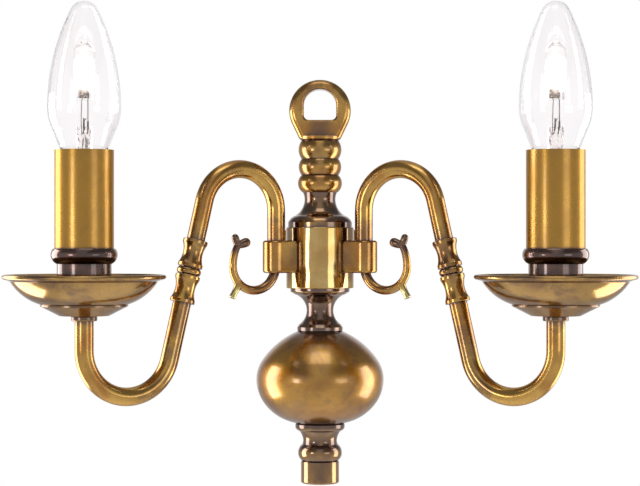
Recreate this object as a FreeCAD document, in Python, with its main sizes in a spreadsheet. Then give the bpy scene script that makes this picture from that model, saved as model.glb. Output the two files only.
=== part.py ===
import FreeCAD, Part
import math
import os
import re
import Sketcher

# A double arm wall light in turned and cast brass, in the Flemish style.  Millimetres, +Z up.
# The origin lies on the back of the wall plate, level with the arm sockets; the room is at -Y.
# Each arm is drawn in a plane of its own, X outward from the column and Z up, and then turned.

doc = FreeCAD.newDocument("double_arm_wall_light")
sheet = doc.addObject("Spreadsheet::Sheet", "Sizes")

SIZES = [
    # the wall plate and the stem that carries the column
    ("axis_reach", 37.0, "wall to the axis of the column"),
    ("plate_radius", 21.0, "wall plate"),
    ("plate_rise", 3.0, "centre of the wall plate above the sockets"),
    ("plate_thick", 3.5, "wall plate at its middle"),
    ("plate_edge", 1.6, "wall plate at its rim"),
    ("plate_slope", 3.5, "width of the sloping border of the plate"),
    ("plate_hole", 5.2, "hole of the plate in which the stem is fixed"),
    ("screw_spacing", 27.0, "between the two wall screws"),
    ("screw_radius", 2.2, "clearance hole of a wall screw"),
    ("screw_sink", 1.3, "depth of the countersink"),
    ("stem_radius", 6.5, "wall stem"),
    ("stem_flange_radius", 8.6, "foot of the stem on the plate"),
    ("stem_flange", 2.0, "height of that foot"),
    ("stem_flange_round", 1.0, "its rounded edge"),
    ("stem_end_gap", 0.3, "end of the stem off the drum, which rests on the flat of its saddle"),
    ("cable_radius", 3.2, "way for the cable through the stem"),
    # what all screwed joints share
    ("seat_gap", 0.05, "radial clearance of a fixed plug in its hole"),
    ("spigot_radius", 4.5, "hollow threaded spigots of the arms and of the stem"),
    ("spigot_bore", 3.2, "way for the lead through a spigot"),
    ("spigot_reach", 11.2, "inner end of a spigot from the axis"),
    ("nut_flats", 11.0, "across the flats of the spigot nuts"),
    ("nut_thick", 2.2, "spigot nuts"),
    # the drum
    ("drum_radius", 17.1, "drum"),
    ("drum_wall", 2.0, "wall of the drum"),
    ("drum_top", 14.8, "upper end of the drum"),
    ("drum_bottom", -16.0, "lower end of the drum"),
    ("drum_edge", 0.5, "broken edges of the drum"),
    ("soft_edge", 0.6, "rounded edges of turned rims"),
    ("fine_edge", 0.3, "finer rounded edges"),
    ("register_depth", 1.5, "plugs of cap and neck into the drum"),
    # the rod that pulls the column together
    ("rod_radius", 3.0, "tie rod"),
    ("rod_top", 51.0, "upper end of the rod"),
    ("rod_bottom", -106.0, "lower end of the rod"),
    ("rod_chamfer", 0.6, "ends of the rod"),
    ("bore_spare", 2.0, "blind bores run on past the rod"),
    ("rod_nut_flats", 10.0, "across the flats of the rod's nuts"),
    ("rod_nut_thick", 5.0, "nuts of the rod"),
    # the cap above the drum
    ("cap_radius", 16.3, "rim of the cap"),
    ("cap_rim", 2.5, "height of the straight rim"),
    ("cap_shoulder_radius", 12.6, "cap where the cove meets the shoulder"),
    ("cap_shoulder", 20.8, "height of that place"),
    ("cap_shoulder_round", 6.0, "roundness of the shoulder"),
    ("cap_cove", 9.6, "cove of the cap"),
    ("cap_waist", 7.9, "narrowest radius of the cap"),
    ("cap_waist_height", 28.3, "height of the waist"),
    ("cap_top", 32.4, "upper end of the cap"),
    ("cap_top_radius", 8.7, "cap at its upper end"),
    # the three beads and the ring
    ("bead_low", 11.2, "radius of the lowest bead"),
    ("bead_middle", 10.8, "radius of the middle bead"),
    ("bead_high", 10.9, "radius of the highest bead"),
    ("bead_groove", 9.4, "radius of the grooves between the beads"),
    ("bead_start", 0.5, "height of the step under the lowest bead"),
    ("groove_low", 41.3, "height of the lower groove"),
    ("groove_high", 49.5, "height of the upper groove"),
    ("bead_top", 58.8, "upper end of the beads"),
    ("ring_centre", 73.8, "height of the ring's centre"),
    ("ring_radius", 15.6, "outside of the ring"),
    ("ring_depth", 12.0, "ring from front to back"),
    ("ring_round", 3.6, "rounded outer edges of the ring"),
    ("ring_inner_round", 1.3, "rounded inner edges of the ring"),
    ("ring_foot", 10.4, "radius of the ring's foot"),
    ("ring_foot_height", 1.4, "height of that foot"),
    ("eye_half", 8.2, "half width of the eye"),
    ("eye_spring", 76.4, "height where the eye's arch springs"),
    ("eye_bottom", 69.0, "flat bottom of the eye"),
    ("eye_corner", 2.6, "lower corners of the eye"),
    # the neck below the drum
    ("flange_radius", 15.1, "flange of the neck"),
    ("flange_bottom", -18.3, "underside of that flange"),
    ("flange_lip", 13.0, "radius where the cove starts"),
    ("flange_step", 0.8, "fall of the flange to that place"),
    ("flange_round", 1.1, "rounded lower edge of the flange"),
    ("neck_waist", 6.8, "narrowest radius of the neck"),
    ("neck_waist_height", -27.4, "height of that waist"),
    ("neck_cove", 8.6, "both coves of the neck"),
    ("collar_radius", 11.6, "collar on the ball"),
    ("collar_top", -34.2, "top of the collar"),
    ("collar_land", 2.1, "straight part of the collar"),
    ("collar_top_radius", 10.5, "collar at its top"),
    # the ball
    ("ball_top", -37.8, "top of the ball"),
    ("ball_bottom", -84.2, "bottom of the ball"),
    ("ball_radius", 32.3, "widest radius of the ball"),
    ("ball_middle", -62.1, "height of the widest place"),
    ("ball_crown", 11.4, "flat crown of the ball"),
    ("ball_foot", 12.2, "flat foot of the ball"),
    ("ball_upper_round", 17.0, "upper side by the widest place"),
    ("ball_lower_round", 20.5, "lower side by the widest place"),
    ("ball_crown_round", 41.0, "roundness from there to the crown"),
    ("ball_foot_round", 25.0, "roundness from there to the foot"),
    ("ball_blend_angle", 33.0, "where these meet crown and foot, above and below level"),
    ("ball_wall", 1.8, "wall of the hollow ball"),
    ("ball_end_wall", 3.0, "crown and foot of the ball"),
    # the finial under the ball
    ("foot_flange", 12.6, "flange under the ball"),
    ("foot_flange_height", 4.0, "height of that flange"),
    ("foot_flange_set", 2.0, "where its lower edge starts to turn in"),
    ("foot_flange_round", 2.6, "roundness of that edge"),
    ("foot_waist", 8.7, "waist of the finial"),
    ("foot_waist_height", -92.0, "height of that waist"),
    ("foot_cove", 5.0, "hollow between waist and bead"),
    ("foot_bead", 11.2, "bead of the finial"),
    ("foot_bead_bottom", -103.4, "lower end of the bead"),
    ("foot_bead_top", -95.0, "where the bead springs from the waist"),
    ("foot_end", 9.7, "plain end of the finial"),
    ("foot_bottom", -114.8, "lowest point"),
    ("foot_end_round", 1.2, "rounded end"),
    # the connector in the drum
    ("connector_width", 12.0, "connector from left to right"),
    ("connector_depth", 7.0, "connector from front to back"),
    ("connector_height", 14.0, "connector"),
    ("connector_gap", 0.4, "connector off the rod"),
    ("connector_round", 0.8, "its edges"),
    ("connector_pitch", 5.6, "between its two ways"),
    ("connector_way", 1.45, "radius of a way for a lead"),
    ("connector_well", 1.7, "radius of a screw well"),
    ("connector_well_rise", 3.6, "screw wells above and below the middle"),
    # the arms
    ("arm_forward", 30.0, "angle of each arm in front of the wall's plane"),
    ("tube_radius", 4.5, "arm tube"),
    ("tube_wall", 1.0, "wall of the arm tube"),
    ("socket_reach", 25.34, "axis of the column to the rising tube"),
    ("candle_reach", 129.14, "axis of the column to the candle"),
    ("arch_radius", 20.3, "centre line of the arch"),
    ("arch_height", 23.2, "centre of the arch"),
    ("bow_radius", 22.7, "centre line of the lower bow"),
    ("bow_height", -44.3, "centre of the lower bow"),
    ("tube_end", -30.2, "upper end of the tube, under the drip pan"),
    ("tube_seat", 3.4, "lower end of the tube, in its socket"),
    # the socket block between drum and arm
    ("block_half_height", 8.15, "half the height of the block"),
    ("block_half_width", 6.3, "half the width of the block, and the radius of its round end"),
    ("block_heel", 15.9, "inner end before it is hollowed to the drum"),
    ("block_end_shift", 0.5, "centre of the round end beyond the rising tube"),
    ("block_corner", 2.0, "rounded upper and lower corners beside the drum"),
    ("block_edge", 1.3, "rounded edges of the block"),
    # the knuckle on the slanting run of the arm
    ("knuckle_share", 0.55, "knuckle's place on the slanting run, from its lower end"),
    ("spool_length", 13.6, "each spool"),
    ("spool_rim", 6.1, "rims of the spools"),
    ("spool_land", 1.6, "height of a rim"),
    ("spool_waist", 4.85, "waist of the spools"),
    ("knuckle_ring_radius", 6.0, "ring between the spools"),
    ("knuckle_ring_bulge", 0.8, "how far that ring bulges"),
    ("knuckle_ring_length", 3.4, "that ring"),
    ("knuckle_gap", 0.35, "dark joint on each side of the ring"),
    # the scroll under the block
    ("scroll_reach", 37.8, "centre of the scroll from the axis"),
    ("scroll_height", -4.8, "centre of the scroll"),
    ("scroll_radius", 11.9, "centre line of the scroll"),
    ("scroll_tail_radius", 22.0, "flatter end of the scroll"),
    ("scroll_tail_angle", 28.0, "length of the flatter end"),
    ("scroll_thick", 2.55, "radius of the bar at the block"),
    ("scroll_thin", 1.75, "radius of the bar at its end"),
    ("outer_leaf_length", 6.0, "leaf toward the candle"),
    ("outer_leaf_radius", 1.75, "its rounded tip"),
    ("inner_leaf_length", 7.2, "leaf toward the column"),
    ("inner_leaf_radius", 2.3, "its rounded tip"),
    ("leaf_neck", 1.4, "radius of a leaf at its root"),
    ("outer_leaf_tilt", -18.0, "lean of the outer leaf, toward the candle"),
    ("inner_leaf_tilt", 71.0, "lean of the inner leaf, toward the column"),
    ("thorn_angle", -45.0, "place of the thorn on the scroll"),
    ("thorn_tilt", 210.0, "direction of the thorn"),
    ("thorn_length", 8.2, "thorn from the bar's centre line"),
    ("thorn_root", 2.5, "radius of the thorn in the bar"),
    ("thorn_radius", 1.75, "radius of its blunt end"),
    ("thorn_hollow", 0.5, "how far its sides are hollowed"),
    ("leaf_swell", 0.25, "how far a leaf's sides bulge"),
    # the drip pan
    ("pan_radius", 38.9, "rim of the pan"),
    ("pan_rim", -8.2, "top of the rim"),
    ("pan_roll", 1.1, "radius of the rolled rim"),
    ("pan_lip", 35.0, "radius where the lip meets the bowl"),
    ("pan_lip_drop", 11.4, "underside of the lip, below the sockets"),
    ("pan_step", 20.8, "radius of the step under the bowl"),
    ("pan_step_height", -22.4, "height of the step"),
    ("pan_step_drop", 0.8, "fall of the step"),
    ("pan_bowl_round", 26.0, "roundness of the bowl"),
    ("pan_floor", 11.9, "radius of the pan's flat floor"),
    ("pan_bottom", -27.7, "underside of the pan"),
    ("pan_wall", 1.0, "sheet of the pan"),
    ("pan_collar_radius", 6.2, "ring nut under the pan"),
    # the hollow nipple that clamps pan, cup and lampholder
    ("nipple_radius", 5.0, "threaded part"),
    ("nipple_bore", 2.4, "way for the lead"),
    ("nipple_top", 6.0, "upper end of the nipple"),
    ("nipple_plug", 8.0, "plug in the arm tube"),
    # the cup that holds the candle tube
    ("cup_rim_wall", 1.45, "rim outside the candle tube"),
    ("cup_rim_bottom", -3.1, "underside of the rim"),
    ("cup_rim_top", 4.2, "top of the rim"),
    ("cup_neck_inset", 1.05, "neck under the rim, inside the candle tube's outline"),
    ("cup_neck_bottom", -12.0, "where the neck turns in"),
    ("cup_foot", 9.6, "foot of the cup in the pan"),
    ("cup_foot_height", 2.4, "height of that foot"),
    ("cup_wall", 1.5, "wall of the cup"),
    ("cup_cove", 14.0, "hollow side of the cup in the pan"),
    ("cup_rim_round", 4.7, "roundness of the rim"),
    ("cup_rim_flat", 0.9, "how far the rim's top lies inside its widest place"),
    ("cup_floor", -2.0, "floor on which tube and lampholder stand"),
    # the candle tube, a loose sleeve
    ("candle_radius", 14.05, "candle tube"),
    ("candle_wall", 0.75, "wall of the candle tube"),
    ("candle_top", 51.0, "upper end of the candle tube"),
    ("sleeve_gap", 0.3, "candle tube in the cup"),
    # the lampholder
    ("holder_radius", 11.4, "insulating body"),
    ("holder_foot", 8.6, "its narrower foot"),
    ("holder_step", 8.0, "height where it widens"),
    ("holder_flare", 2.0, "height of the widening"),
    ("holder_top", 43.4, "its upper end"),
    ("holder_chamber", 13.5, "top of the wiring chamber"),
    ("holder_chamber_radius", 6.8, "wiring chamber"),
    ("holder_shelf", 20.0, "shelf under the contact"),
    ("holder_eye", 1.6, "hole in the shelf for the lead"),
    ("holder_ledge", 0.4, "chamber's floor off the nipple's end"),
    ("contact_gap", 0.2, "spring contact off the lamp's contact"),
    ("contact_half_width", 2.0, "half the width of the spring"),
    ("contact_sheet", 0.5, "thickness of the spring"),
    ("contact_foot", 5.2, "reach of the spring's foot"),
    ("contact_rise", -1.0, "where the spring leaves the shelf"),
    ("contact_crest", 2.0, "where it is highest"),
    ("contact_end", 3.6, "its free end"),
    ("contact_drop", 0.8, "fall of the free end"),
    ("shell_sheet", 0.5, "sheet of the threaded shell"),
    ("shell_eye", 5.6, "hole in the shell's floor"),
    ("shell_top", 42.6, "upper end of the shell"),
    ("shell_gap", 0.3, "lamp cap in the shell, over the threads"),
    # the lamp
    ("lamp_tip", 121.8, "tip of the glass"),
    ("lamp_length", 98.0, "tip of the glass to the contact"),
    ("lamp_cap_radius", 6.6, "screw cap at half its thread"),
    ("lamp_cap_start", 3.6, "contact to the screw cap"),
    ("lamp_cap_length", 19.0, "screw cap"),
    ("lamp_cap_sheet", 0.4, "sheet of the screw cap"),
    ("lamp_cap_neck", 7.6, "skirt at the top of the cap"),
    ("lamp_cap_skirt", 2.4, "height of the skirt"),
    ("lamp_cap_taper", 0.8, "height of the cap's tapered start"),
    ("lamp_button_radius", 2.2, "contact button"),
    ("lamp_button_height", 1.0, "contact button"),
    ("lamp_insulator_radius", 4.8, "insulator round the button"),
    ("lamp_insulator_depth", 1.0, "insulator inside the cap"),
    ("turning_gap", 0.3, "insulator in the cap"),
    ("glass_radius", 17.45, "widest radius of the glass"),
    ("glass_middle", 71.0, "height of the widest place"),
    ("glass_sheet", 0.7, "wall of the glass"),
    ("glass_throat", 6.0, "neck of the glass in the cap"),
    ("glass_throat_cove", 7.0, "flare of the neck above the cap"),
    ("glass_seat", 6.0, "neck of the glass inside the cap"),
    ("glass_flare_start", 1.0, "flare's start below the cap's end"),
    ("glass_neck_radius", 11.3, "start of the straight lower flank"),
    ("glass_neck_height", 51.0, "height of that place"),
    ("glass_belly_radius", 14.8, "end of the straight lower flank"),
    ("glass_belly_height", 60.2, "height of that place"),
    ("glass_belly_round", 23.8, "roundness of the belly"),
    ("glass_flank_round", 105.5, "roundness of the long upper flank"),
    ("glass_tip_round", 7.2, "roundness of the tip"),
    ("glass_tip_radius", 6.5, "radius where flank and tip meet"),
    ("flare_radius", 4.6, "stem flare in the neck"),
    ("flare_length", 9.0, "height of the flare"),
    ("press_root", 3.0, "glass press inside the flare"),
    ("press_half_width", 3.6, "half the width of the glass press"),
    ("press_half_thick", 1.2, "half its thickness"),
    ("press_top", 62.0, "top of the glass press"),
    ("capsule_radius", 5.0, "inner capsule"),
    ("capsule_bottom", 80.0, "shoulder of the capsule"),
    ("capsule_shoulder", 1.5, "rounded shoulder of the capsule"),
    ("capsule_overlap", 0.5, "pinch inside the capsule"),
    ("capsule_top", 102.5, "tip of the capsule"),
    ("pinch_half_width", 4.0, "half the width of the capsule's pinch"),
    ("pinch_half_thick", 1.3, "half its thickness"),
    ("pinch_height", 5.4, "height of the pinch"),
    ("wire_radius", 0.45, "lead wires of the capsule"),
    ("wire_spread", 2.4, "each wire from the lamp's axis"),
    # the flexible leads inside the arms
    ("lead_radius", 1.3, "lead inside an arm"),
    ("lead_bend", 5.0, "bend of the lead in the block"),
    ("lead_reach", 7.9, "inner end of the lead, at the connector"),
]
for row, (alias, value, note) in enumerate(SIZES, start=1):
    sheet.set("A%d" % row, alias)
    sheet.set("B%d" % row, str(value))
    sheet.set("C%d" % row, note)
    sheet.setAlias("B%d" % row, alias)
doc.recompute()

ALIASES = {alias for alias, value, note in SIZES}
V = FreeCAD.Vector
WORD = re.compile(r"\b[a-z_]+\b")


def bound(text):
    """An expression in which the sheet's aliases stand by their bare names."""
    return WORD.sub(lambda word: "Sizes." + word[0] if word[0] in ALIASES else word[0], text)


def value_of(text):
    """The value of such an expression now."""
    return float(getattr(sheet.evalExpression(bound(text)), "Value", sheet.evalExpression(bound(text))))


# ---------------------------------------------------------------- sketches

def heading_after(edge, forward):
    """The direction of travel at the end of a side of an outline."""
    end = edge.LastParameter if forward else edge.FirstParameter
    tangent = edge.tangent(end)[0]
    return tangent if forward else tangent * -1


def arc_by_radius(start, end, radius, turn):
    """The shorter arc from start to end; turn is 1 to the left and -1 to the right."""
    chord = end - start
    rise = math.sqrt(max(radius ** 2 - (chord.Length / 2) ** 2, 0))
    left = V(-chord.y, chord.x, 0).normalize()
    return arc_about(start + chord / 2 + left * rise * turn, start, end, turn)


def arc_about(centre, start, end, turn):
    """An arc about a centre, always kept counter-clockwise as sketches hold it."""
    first, last = (start, end) if turn > 0 else (end, start)
    begin = math.atan2(first.y - centre.y, first.x - centre.x)
    stop = math.atan2(last.y - centre.y, last.x - centre.x)
    circle = Part.Circle(centre, V(0, 0, 1), (start - centre).Length)
    return Part.ArcOfCircle(circle, begin, stop if stop > begin else stop + 2 * math.pi)


def arc_by_heading(start, end, heading):
    """The arc from start to end that leaves start in a given direction."""
    chord = end - start
    left = V(-heading.y, heading.x, 0).normalize()
    reach = chord.dot(chord) / (2 * chord.dot(left))
    turn = 1 if reach > 0 else -1
    return arc_about(start + left * reach, start, end, turn), turn


def draw(sketch, outline, closed=True):
    """Draw an outline whose corners are bound to the sheet.

    A corner is (x, y), and the side that leaves it is straight.  (x, y, "bead", radius) and
    (x, y, "cove", radius) leave it by an arc that turns left or right, and (x, y, "flow") by an
    arc that carries on smoothly.  Closed outlines are listed counter-clockwise.
    """
    corners = [V(value_of(corner[0]), value_of(corner[1]), 0) for corner in outline]
    count = len(outline) if closed else len(outline) - 1
    first = sketch.GeometryCount
    ends = []
    heading = None
    for index in range(count):
        start = corners[index]
        end = corners[(index + 1) % len(corners)]
        kind = outline[index][2] if len(outline[index]) > 2 else "line"
        turn = 1
        if kind == "line":
            edge = Part.LineSegment(start, end)
        elif kind == "flow":
            edge, turn = arc_by_heading(start, end, heading)
        else:
            turn = 1 if kind == "bead" else -1
            edge = arc_by_radius(start, end, value_of(outline[index][3]), turn)
        sketch.addGeometry(edge, False)
        ends.append((1, 2) if turn > 0 else (2, 1))
        heading = heading_after(edge, turn > 0)
    rules = []
    bindings = []
    for index in range(count):
        following = (index + 1) % count
        if closed or index < count - 1:
            smooth = len(outline[following]) > 2 and outline[following][2] == "flow"
            joint = "Tangent" if smooth else "Coincident"
            rules.append(Sketcher.Constraint(
                joint, first + index, ends[index][1], first + following, ends[following][0]))
    for index, corner in enumerate(outline):
        at_start = index < count
        side = first + (index if at_start else index - 1)
        point = ends[index][0] if at_start else ends[index - 1][1]
        for axis, rule, text in ((-2, "DistanceX", corner[0]), (-1, "DistanceY", corner[1])):
            if text == "0":
                rules.append(Sketcher.Constraint("PointOnObject", side, point, axis))
            else:
                bindings.append((len(rules), text))
                rules.append(Sketcher.Constraint(rule, -1, 1, side, point, value_of(text)))
        if at_start and len(corner) > 3:
            bindings.append((len(rules), corner[3]))
            rules.append(Sketcher.Constraint("Radius", side, value_of(corner[3])))
    base = sketch.ConstraintCount
    sketch.addConstraint(rules)
    for number, text in bindings:
        sketch.setExpression("Constraints[%d]" % (base + number), bound(text))


def draw_circle(sketch, x, y, radius):
    """Draw a circle bound to the sheet."""
    number = sketch.addGeometry(
        Part.Circle(V(value_of(x), value_of(y), 0), V(0, 0, 1), value_of(radius)), False)
    for axis, rule, text in ((-2, "DistanceX", x), (-1, "DistanceY", y)):
        if text == "0":
            sketch.addConstraint(Sketcher.Constraint("PointOnObject", number, 3, axis))
        else:
            place = sketch.addConstraint(Sketcher.Constraint(rule, -1, 1, number, 3, value_of(text)))
            sketch.setExpression("Constraints[%d]" % place, bound(text))
    size = sketch.addConstraint(Sketcher.Constraint("Radius", number, value_of(radius)))
    sketch.setExpression("Constraints[%d]" % size, bound(radius))


def arc_over(span, rise):
    """The radius of an arc with a given rise over a span."""
    return "(((%s) / 2) ^ 2 + (%s) ^ 2) / (2 * (%s))" % (span, rise, rise)


def rectangle(left, bottom, right, top):
    """The four corners of a rectangle as an outline."""
    return [(left, bottom), (right, bottom), (right, top), (left, top)]


# ---------------------------------------------------------------- bodies and features

NODES = []


def new_body(name, side=None):
    """A piece of the column, or with a side a piece of that arm, drawn in the arm's plane."""
    body = doc.addObject("PartDesign::Body", name)
    body.Label = name
    body.setExpression("Placement.Base.y", bound("-axis_reach"))
    if side:
        body.setExpression("Placement.Rotation.Angle", bound(ARM_ANGLES[side]))
    NODES.append(body)
    return body


def add_sketch(body, role, x="0", y="0", lift="0", turn="0", about=(0, 0, 1)):
    """A sketch on one of the body's own planes, shifted and turned from it."""
    sketch = body.newObject("Sketcher::SketchObject", body.Name + "_sketch")
    plane = [feature for feature in body.Origin.OriginFeatures if feature.Role == role]
    sketch.AttachmentSupport = [(plane[0], "")]
    sketch.MapMode = "FlatFace"
    sketch.AttachmentOffset = FreeCAD.Placement(V(), FreeCAD.Rotation(V(*about), 1))
    for field, text in (("Base.x", x), ("Base.y", y), ("Base.z", lift), ("Rotation.Angle", turn)):
        sketch.setExpression("AttachmentOffset." + field, bound(text))
    return sketch


def revolve(body, sketch, axis="V_Axis", kind="Revolution"):
    """Turn a profile about the sketch's own upright or level axis."""
    feature = body.newObject("PartDesign::" + kind, body.Name + "_turned")
    feature.Profile = sketch
    feature.ReferenceAxis = (sketch, [axis])
    feature.Angle = 360
    return feature


def pad(body, sketch, length, kind="Pad", both_ways=False, reverse=False):
    """Give a profile a length, to one side or evenly to both."""
    feature = body.newObject("PartDesign::" + kind, body.Name + "_" + kind.lower())
    feature.Profile = sketch
    feature.setExpression("Length", bound(length))
    feature.Midplane = both_ways
    feature.Reversed = reverse
    return feature


def cut(body, sketch, length, both_ways=False, reverse=False):
    """A pocket, refused when it removes nothing."""
    doc.recompute()
    before = body.Shape.Volume
    feature = pad(body, sketch, length, "Pocket", both_ways, reverse)
    doc.recompute()
    assert body.Shape.Volume < before - 0.01, body.Label + ": the pocket cuts nothing"
    return feature


def turned(name, outline, side=None, x="0", y="0", turn="0"):
    """A piece that is one profile turned about an upright or tilted axis."""
    body = new_body(name, side)
    sketch = add_sketch(body, "XZ_Plane", x, y, turn=turn)
    draw(sketch, outline)
    revolve(body, sketch)
    return body


def sweep(body, profile, path, last=None):
    """Carry a profile along a path, up to another profile at its end where one is given."""
    feature = body.newObject("PartDesign::AdditivePipe", body.Name + "_swept")
    feature.Profile = profile
    feature.Spine = (path, [""])
    if last:
        feature.Transformation = "Multisection"
        feature.Sections = [(last, [""])]
    return feature


def dress(body, kind, size, chosen):
    """Round or chamfer the edges of the last feature that a test chooses."""
    doc.recompute()
    base = body.Tip
    names = ["Edge%d" % number for number, edge in enumerate(base.Shape.Edges, start=1) if chosen(edge)]
    assert names, body.Label + ": no edge to dress"
    feature = body.newObject("PartDesign::" + kind, body.Name + "_" + kind.lower())
    feature.Base = (base, names)
    feature.setExpression("Radius" if kind == "Fillet" else "Size", bound(size))
    return feature


def is_circle(edge, radius):
    """Whether an edge is a full circle of a given radius."""
    return (isinstance(edge.Curve, Part.Circle) and abs(edge.Curve.Radius - radius) < 0.01
            and edge.Length > 2 * math.pi * radius - 0.01)


# ---------------------------------------------------------------- places that pieces share

ARM_ANGLES = {"left": "180 + arm_forward", "right": "-arm_forward"}
ROD_BORE = "rod_radius + seat_gap"
SPIGOT_HOLE = "spigot_radius + seat_gap"
DRUM_INSIDE = "drum_radius - drum_wall"
# the slanting run of an arm is the tangent between its arch and its lower bow
RUN_SPAN = "(candle_reach - bow_radius - socket_reach - arch_radius)"
RUN_FALL = "(bow_height - arch_height)"
RUN_ANGLE = ("(atan2(%s; %s) + acos((arch_radius + bow_radius) / hypot(%s; %s)))"
             % (RUN_FALL, RUN_SPAN, RUN_SPAN, RUN_FALL))
RUN_TOP_X = "(socket_reach + arch_radius + arch_radius * cos(%s))" % RUN_ANGLE
RUN_TOP_Z = "(arch_height + arch_radius * sin(%s))" % RUN_ANGLE
RUN_END_X = "(candle_reach - bow_radius - bow_radius * cos(%s))" % RUN_ANGLE
RUN_END_Z = "(bow_height - bow_radius * sin(%s))" % RUN_ANGLE
# the lamp hangs from its tip
LAMP_FOOT = "(lamp_tip - lamp_length)"
CAP_START = "(%s + lamp_cap_start)" % LAMP_FOOT
CAP_END = "(%s + lamp_cap_start + lamp_cap_length)" % LAMP_FOOT


# ---------------------------------------------------------------- the column

def make_ring_finial():
    """The casting at the top: a ring with a flat-bottomed eye on a foot with three beads."""
    body = new_body("ring_finial")
    ring = add_sketch(body, "XZ_Plane")
    foot = "(bead_top + soft_edge)"
    fall = "(%s - ring_centre)" % foot
    # the shoulders are the tangents from the foot to the ring
    turn = "(atan2(%s; ring_foot) + acos(ring_radius / hypot(ring_foot; %s)))" % (fall, fall)
    shoulder_x = "ring_radius * cos(%s)" % turn
    shoulder_z = "ring_centre + ring_radius * sin(%s)" % turn
    draw(ring, [
        ("-ring_foot", foot),
        ("ring_foot", foot),
        (shoulder_x, shoulder_z, "bead", "ring_radius"),
        ("0", "ring_centre + ring_radius", "bead", "ring_radius"),
        ("-" + shoulder_x, shoulder_z),
    ])
    pad(body, ring, "ring_depth", both_ways=True)
    low = value_of(foot) + 0.01
    dress(body, "Fillet", "ring_round", lambda edge: (
        abs(edge.CenterOfMass.y) > 0.1 and edge.BoundBox.ZMax > low))
    eye = add_sketch(body, "XZ_Plane")
    draw(eye, [
        ("-eye_half + eye_corner", "eye_bottom"),
        ("eye_half - eye_corner", "eye_bottom", "flow"),
        ("eye_half", "eye_bottom + eye_corner"),
        ("eye_half", "eye_spring", "flow"),
        ("0", "eye_spring + eye_half", "flow"),
        ("-eye_half", "eye_spring"),
        ("-eye_half", "eye_bottom + eye_corner", "flow"),
    ])
    cut(body, eye, "ring_depth * 2", both_ways=True)
    face = value_of("ring_depth / 2")
    half = value_of("eye_half") + 0.1
    dress(body, "Fillet", "ring_inner_round", lambda edge: (
        abs(abs(edge.CenterOfMass.y) - face) < 0.01 and abs(edge.BoundBox.XMin) < half
        and abs(edge.BoundBox.XMax) < half))
    beads = add_sketch(body, "XZ_Plane")
    draw(beads, [
        (ROD_BORE, "cap_top"),
        ("cap_top_radius", "cap_top"),
        ("bead_groove", "cap_top + bead_start", "bead",
         arc_over("groove_low - cap_top - bead_start", "bead_low - bead_groove")),
        ("bead_groove", "groove_low", "bead",
         arc_over("groove_high - groove_low", "bead_middle - bead_groove")),
        ("bead_groove", "groove_high", "bead",
         arc_over("bead_top - groove_high", "bead_high - bead_groove")),
        ("bead_groove", "bead_top"),
        ("ring_foot", foot),
        ("ring_foot", foot + " + ring_foot_height"),
        ("0", foot + " + ring_foot_height"),
        ("0", "rod_top + bore_spare + rod_radius / 2"),
        (ROD_BORE, "rod_top + bore_spare"),
    ])
    revolve(body, beads)


def make_bell_cap():
    """The flared cap that closes the drum from above."""
    turned("bell_cap", [
        (ROD_BORE, "drum_top - register_depth"),
        (DRUM_INSIDE + " - seat_gap", "drum_top - register_depth"),
        (DRUM_INSIDE + " - seat_gap", "drum_top"),
        ("cap_radius", "drum_top"),
        ("cap_radius", "drum_top + cap_rim", "bead", "cap_shoulder_round"),
        ("cap_shoulder_radius", "cap_shoulder", "cove", "cap_cove"),
        ("cap_waist", "cap_waist_height", "flow"),
        ("cap_top_radius", "cap_top"),
        (ROD_BORE, "cap_top"),
    ])


def make_hub_drum():
    """The drum: a tube with three holes, one for each arm and one for the wall stem."""
    body = new_body("hub_drum")
    sketch = add_sketch(body, "XZ_Plane")
    draw(sketch, [
        (DRUM_INSIDE, "drum_bottom"),
        ("drum_radius - drum_edge", "drum_bottom", "flow"),
        ("drum_radius", "drum_bottom + drum_edge"),
        ("drum_radius", "drum_top - drum_edge", "flow"),
        ("drum_radius - drum_edge", "drum_top"),
        (DRUM_INSIDE, "drum_top"),
    ])
    revolve(body, sketch)
    hole = add_sketch(body, "XZ_Plane")
    draw_circle(hole, "0", "0", SPIGOT_HOLE)
    bore = cut(body, hole, "drum_radius * 2")
    pattern = body.newObject("PartDesign::PolarPattern", "hub_drum_holes")
    pattern.Originals = [bore]
    upright = [feature for feature in body.Origin.OriginFeatures if feature.Role == "Z_Axis"]
    pattern.Axis = (upright[0], [""])
    pattern.Angle = 360
    pattern.Occurrences = 3
    body.Tip = pattern


def make_hub_neck():
    """The turned neck between drum and ball."""
    turned("hub_neck", [
        (ROD_BORE, "ball_top"),
        ("collar_radius - soft_edge", "ball_top", "flow"),
        ("collar_radius", "ball_top + soft_edge"),
        ("collar_radius", "ball_top + collar_land"),
        ("collar_top_radius", "collar_top", "cove", "neck_cove"),
        ("neck_waist", "neck_waist_height", "cove", "neck_cove"),
        ("flange_lip", "flange_bottom - flange_step"),
        ("flange_radius - flange_round", "flange_bottom", "bead", "flange_round"),
        ("flange_radius", "flange_bottom + flange_round"),
        ("flange_radius", "drum_bottom"),
        (DRUM_INSIDE + " - seat_gap", "drum_bottom"),
        (DRUM_INSIDE + " - seat_gap", "drum_bottom + register_depth"),
        (ROD_BORE, "drum_bottom + register_depth"),
    ])


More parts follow.
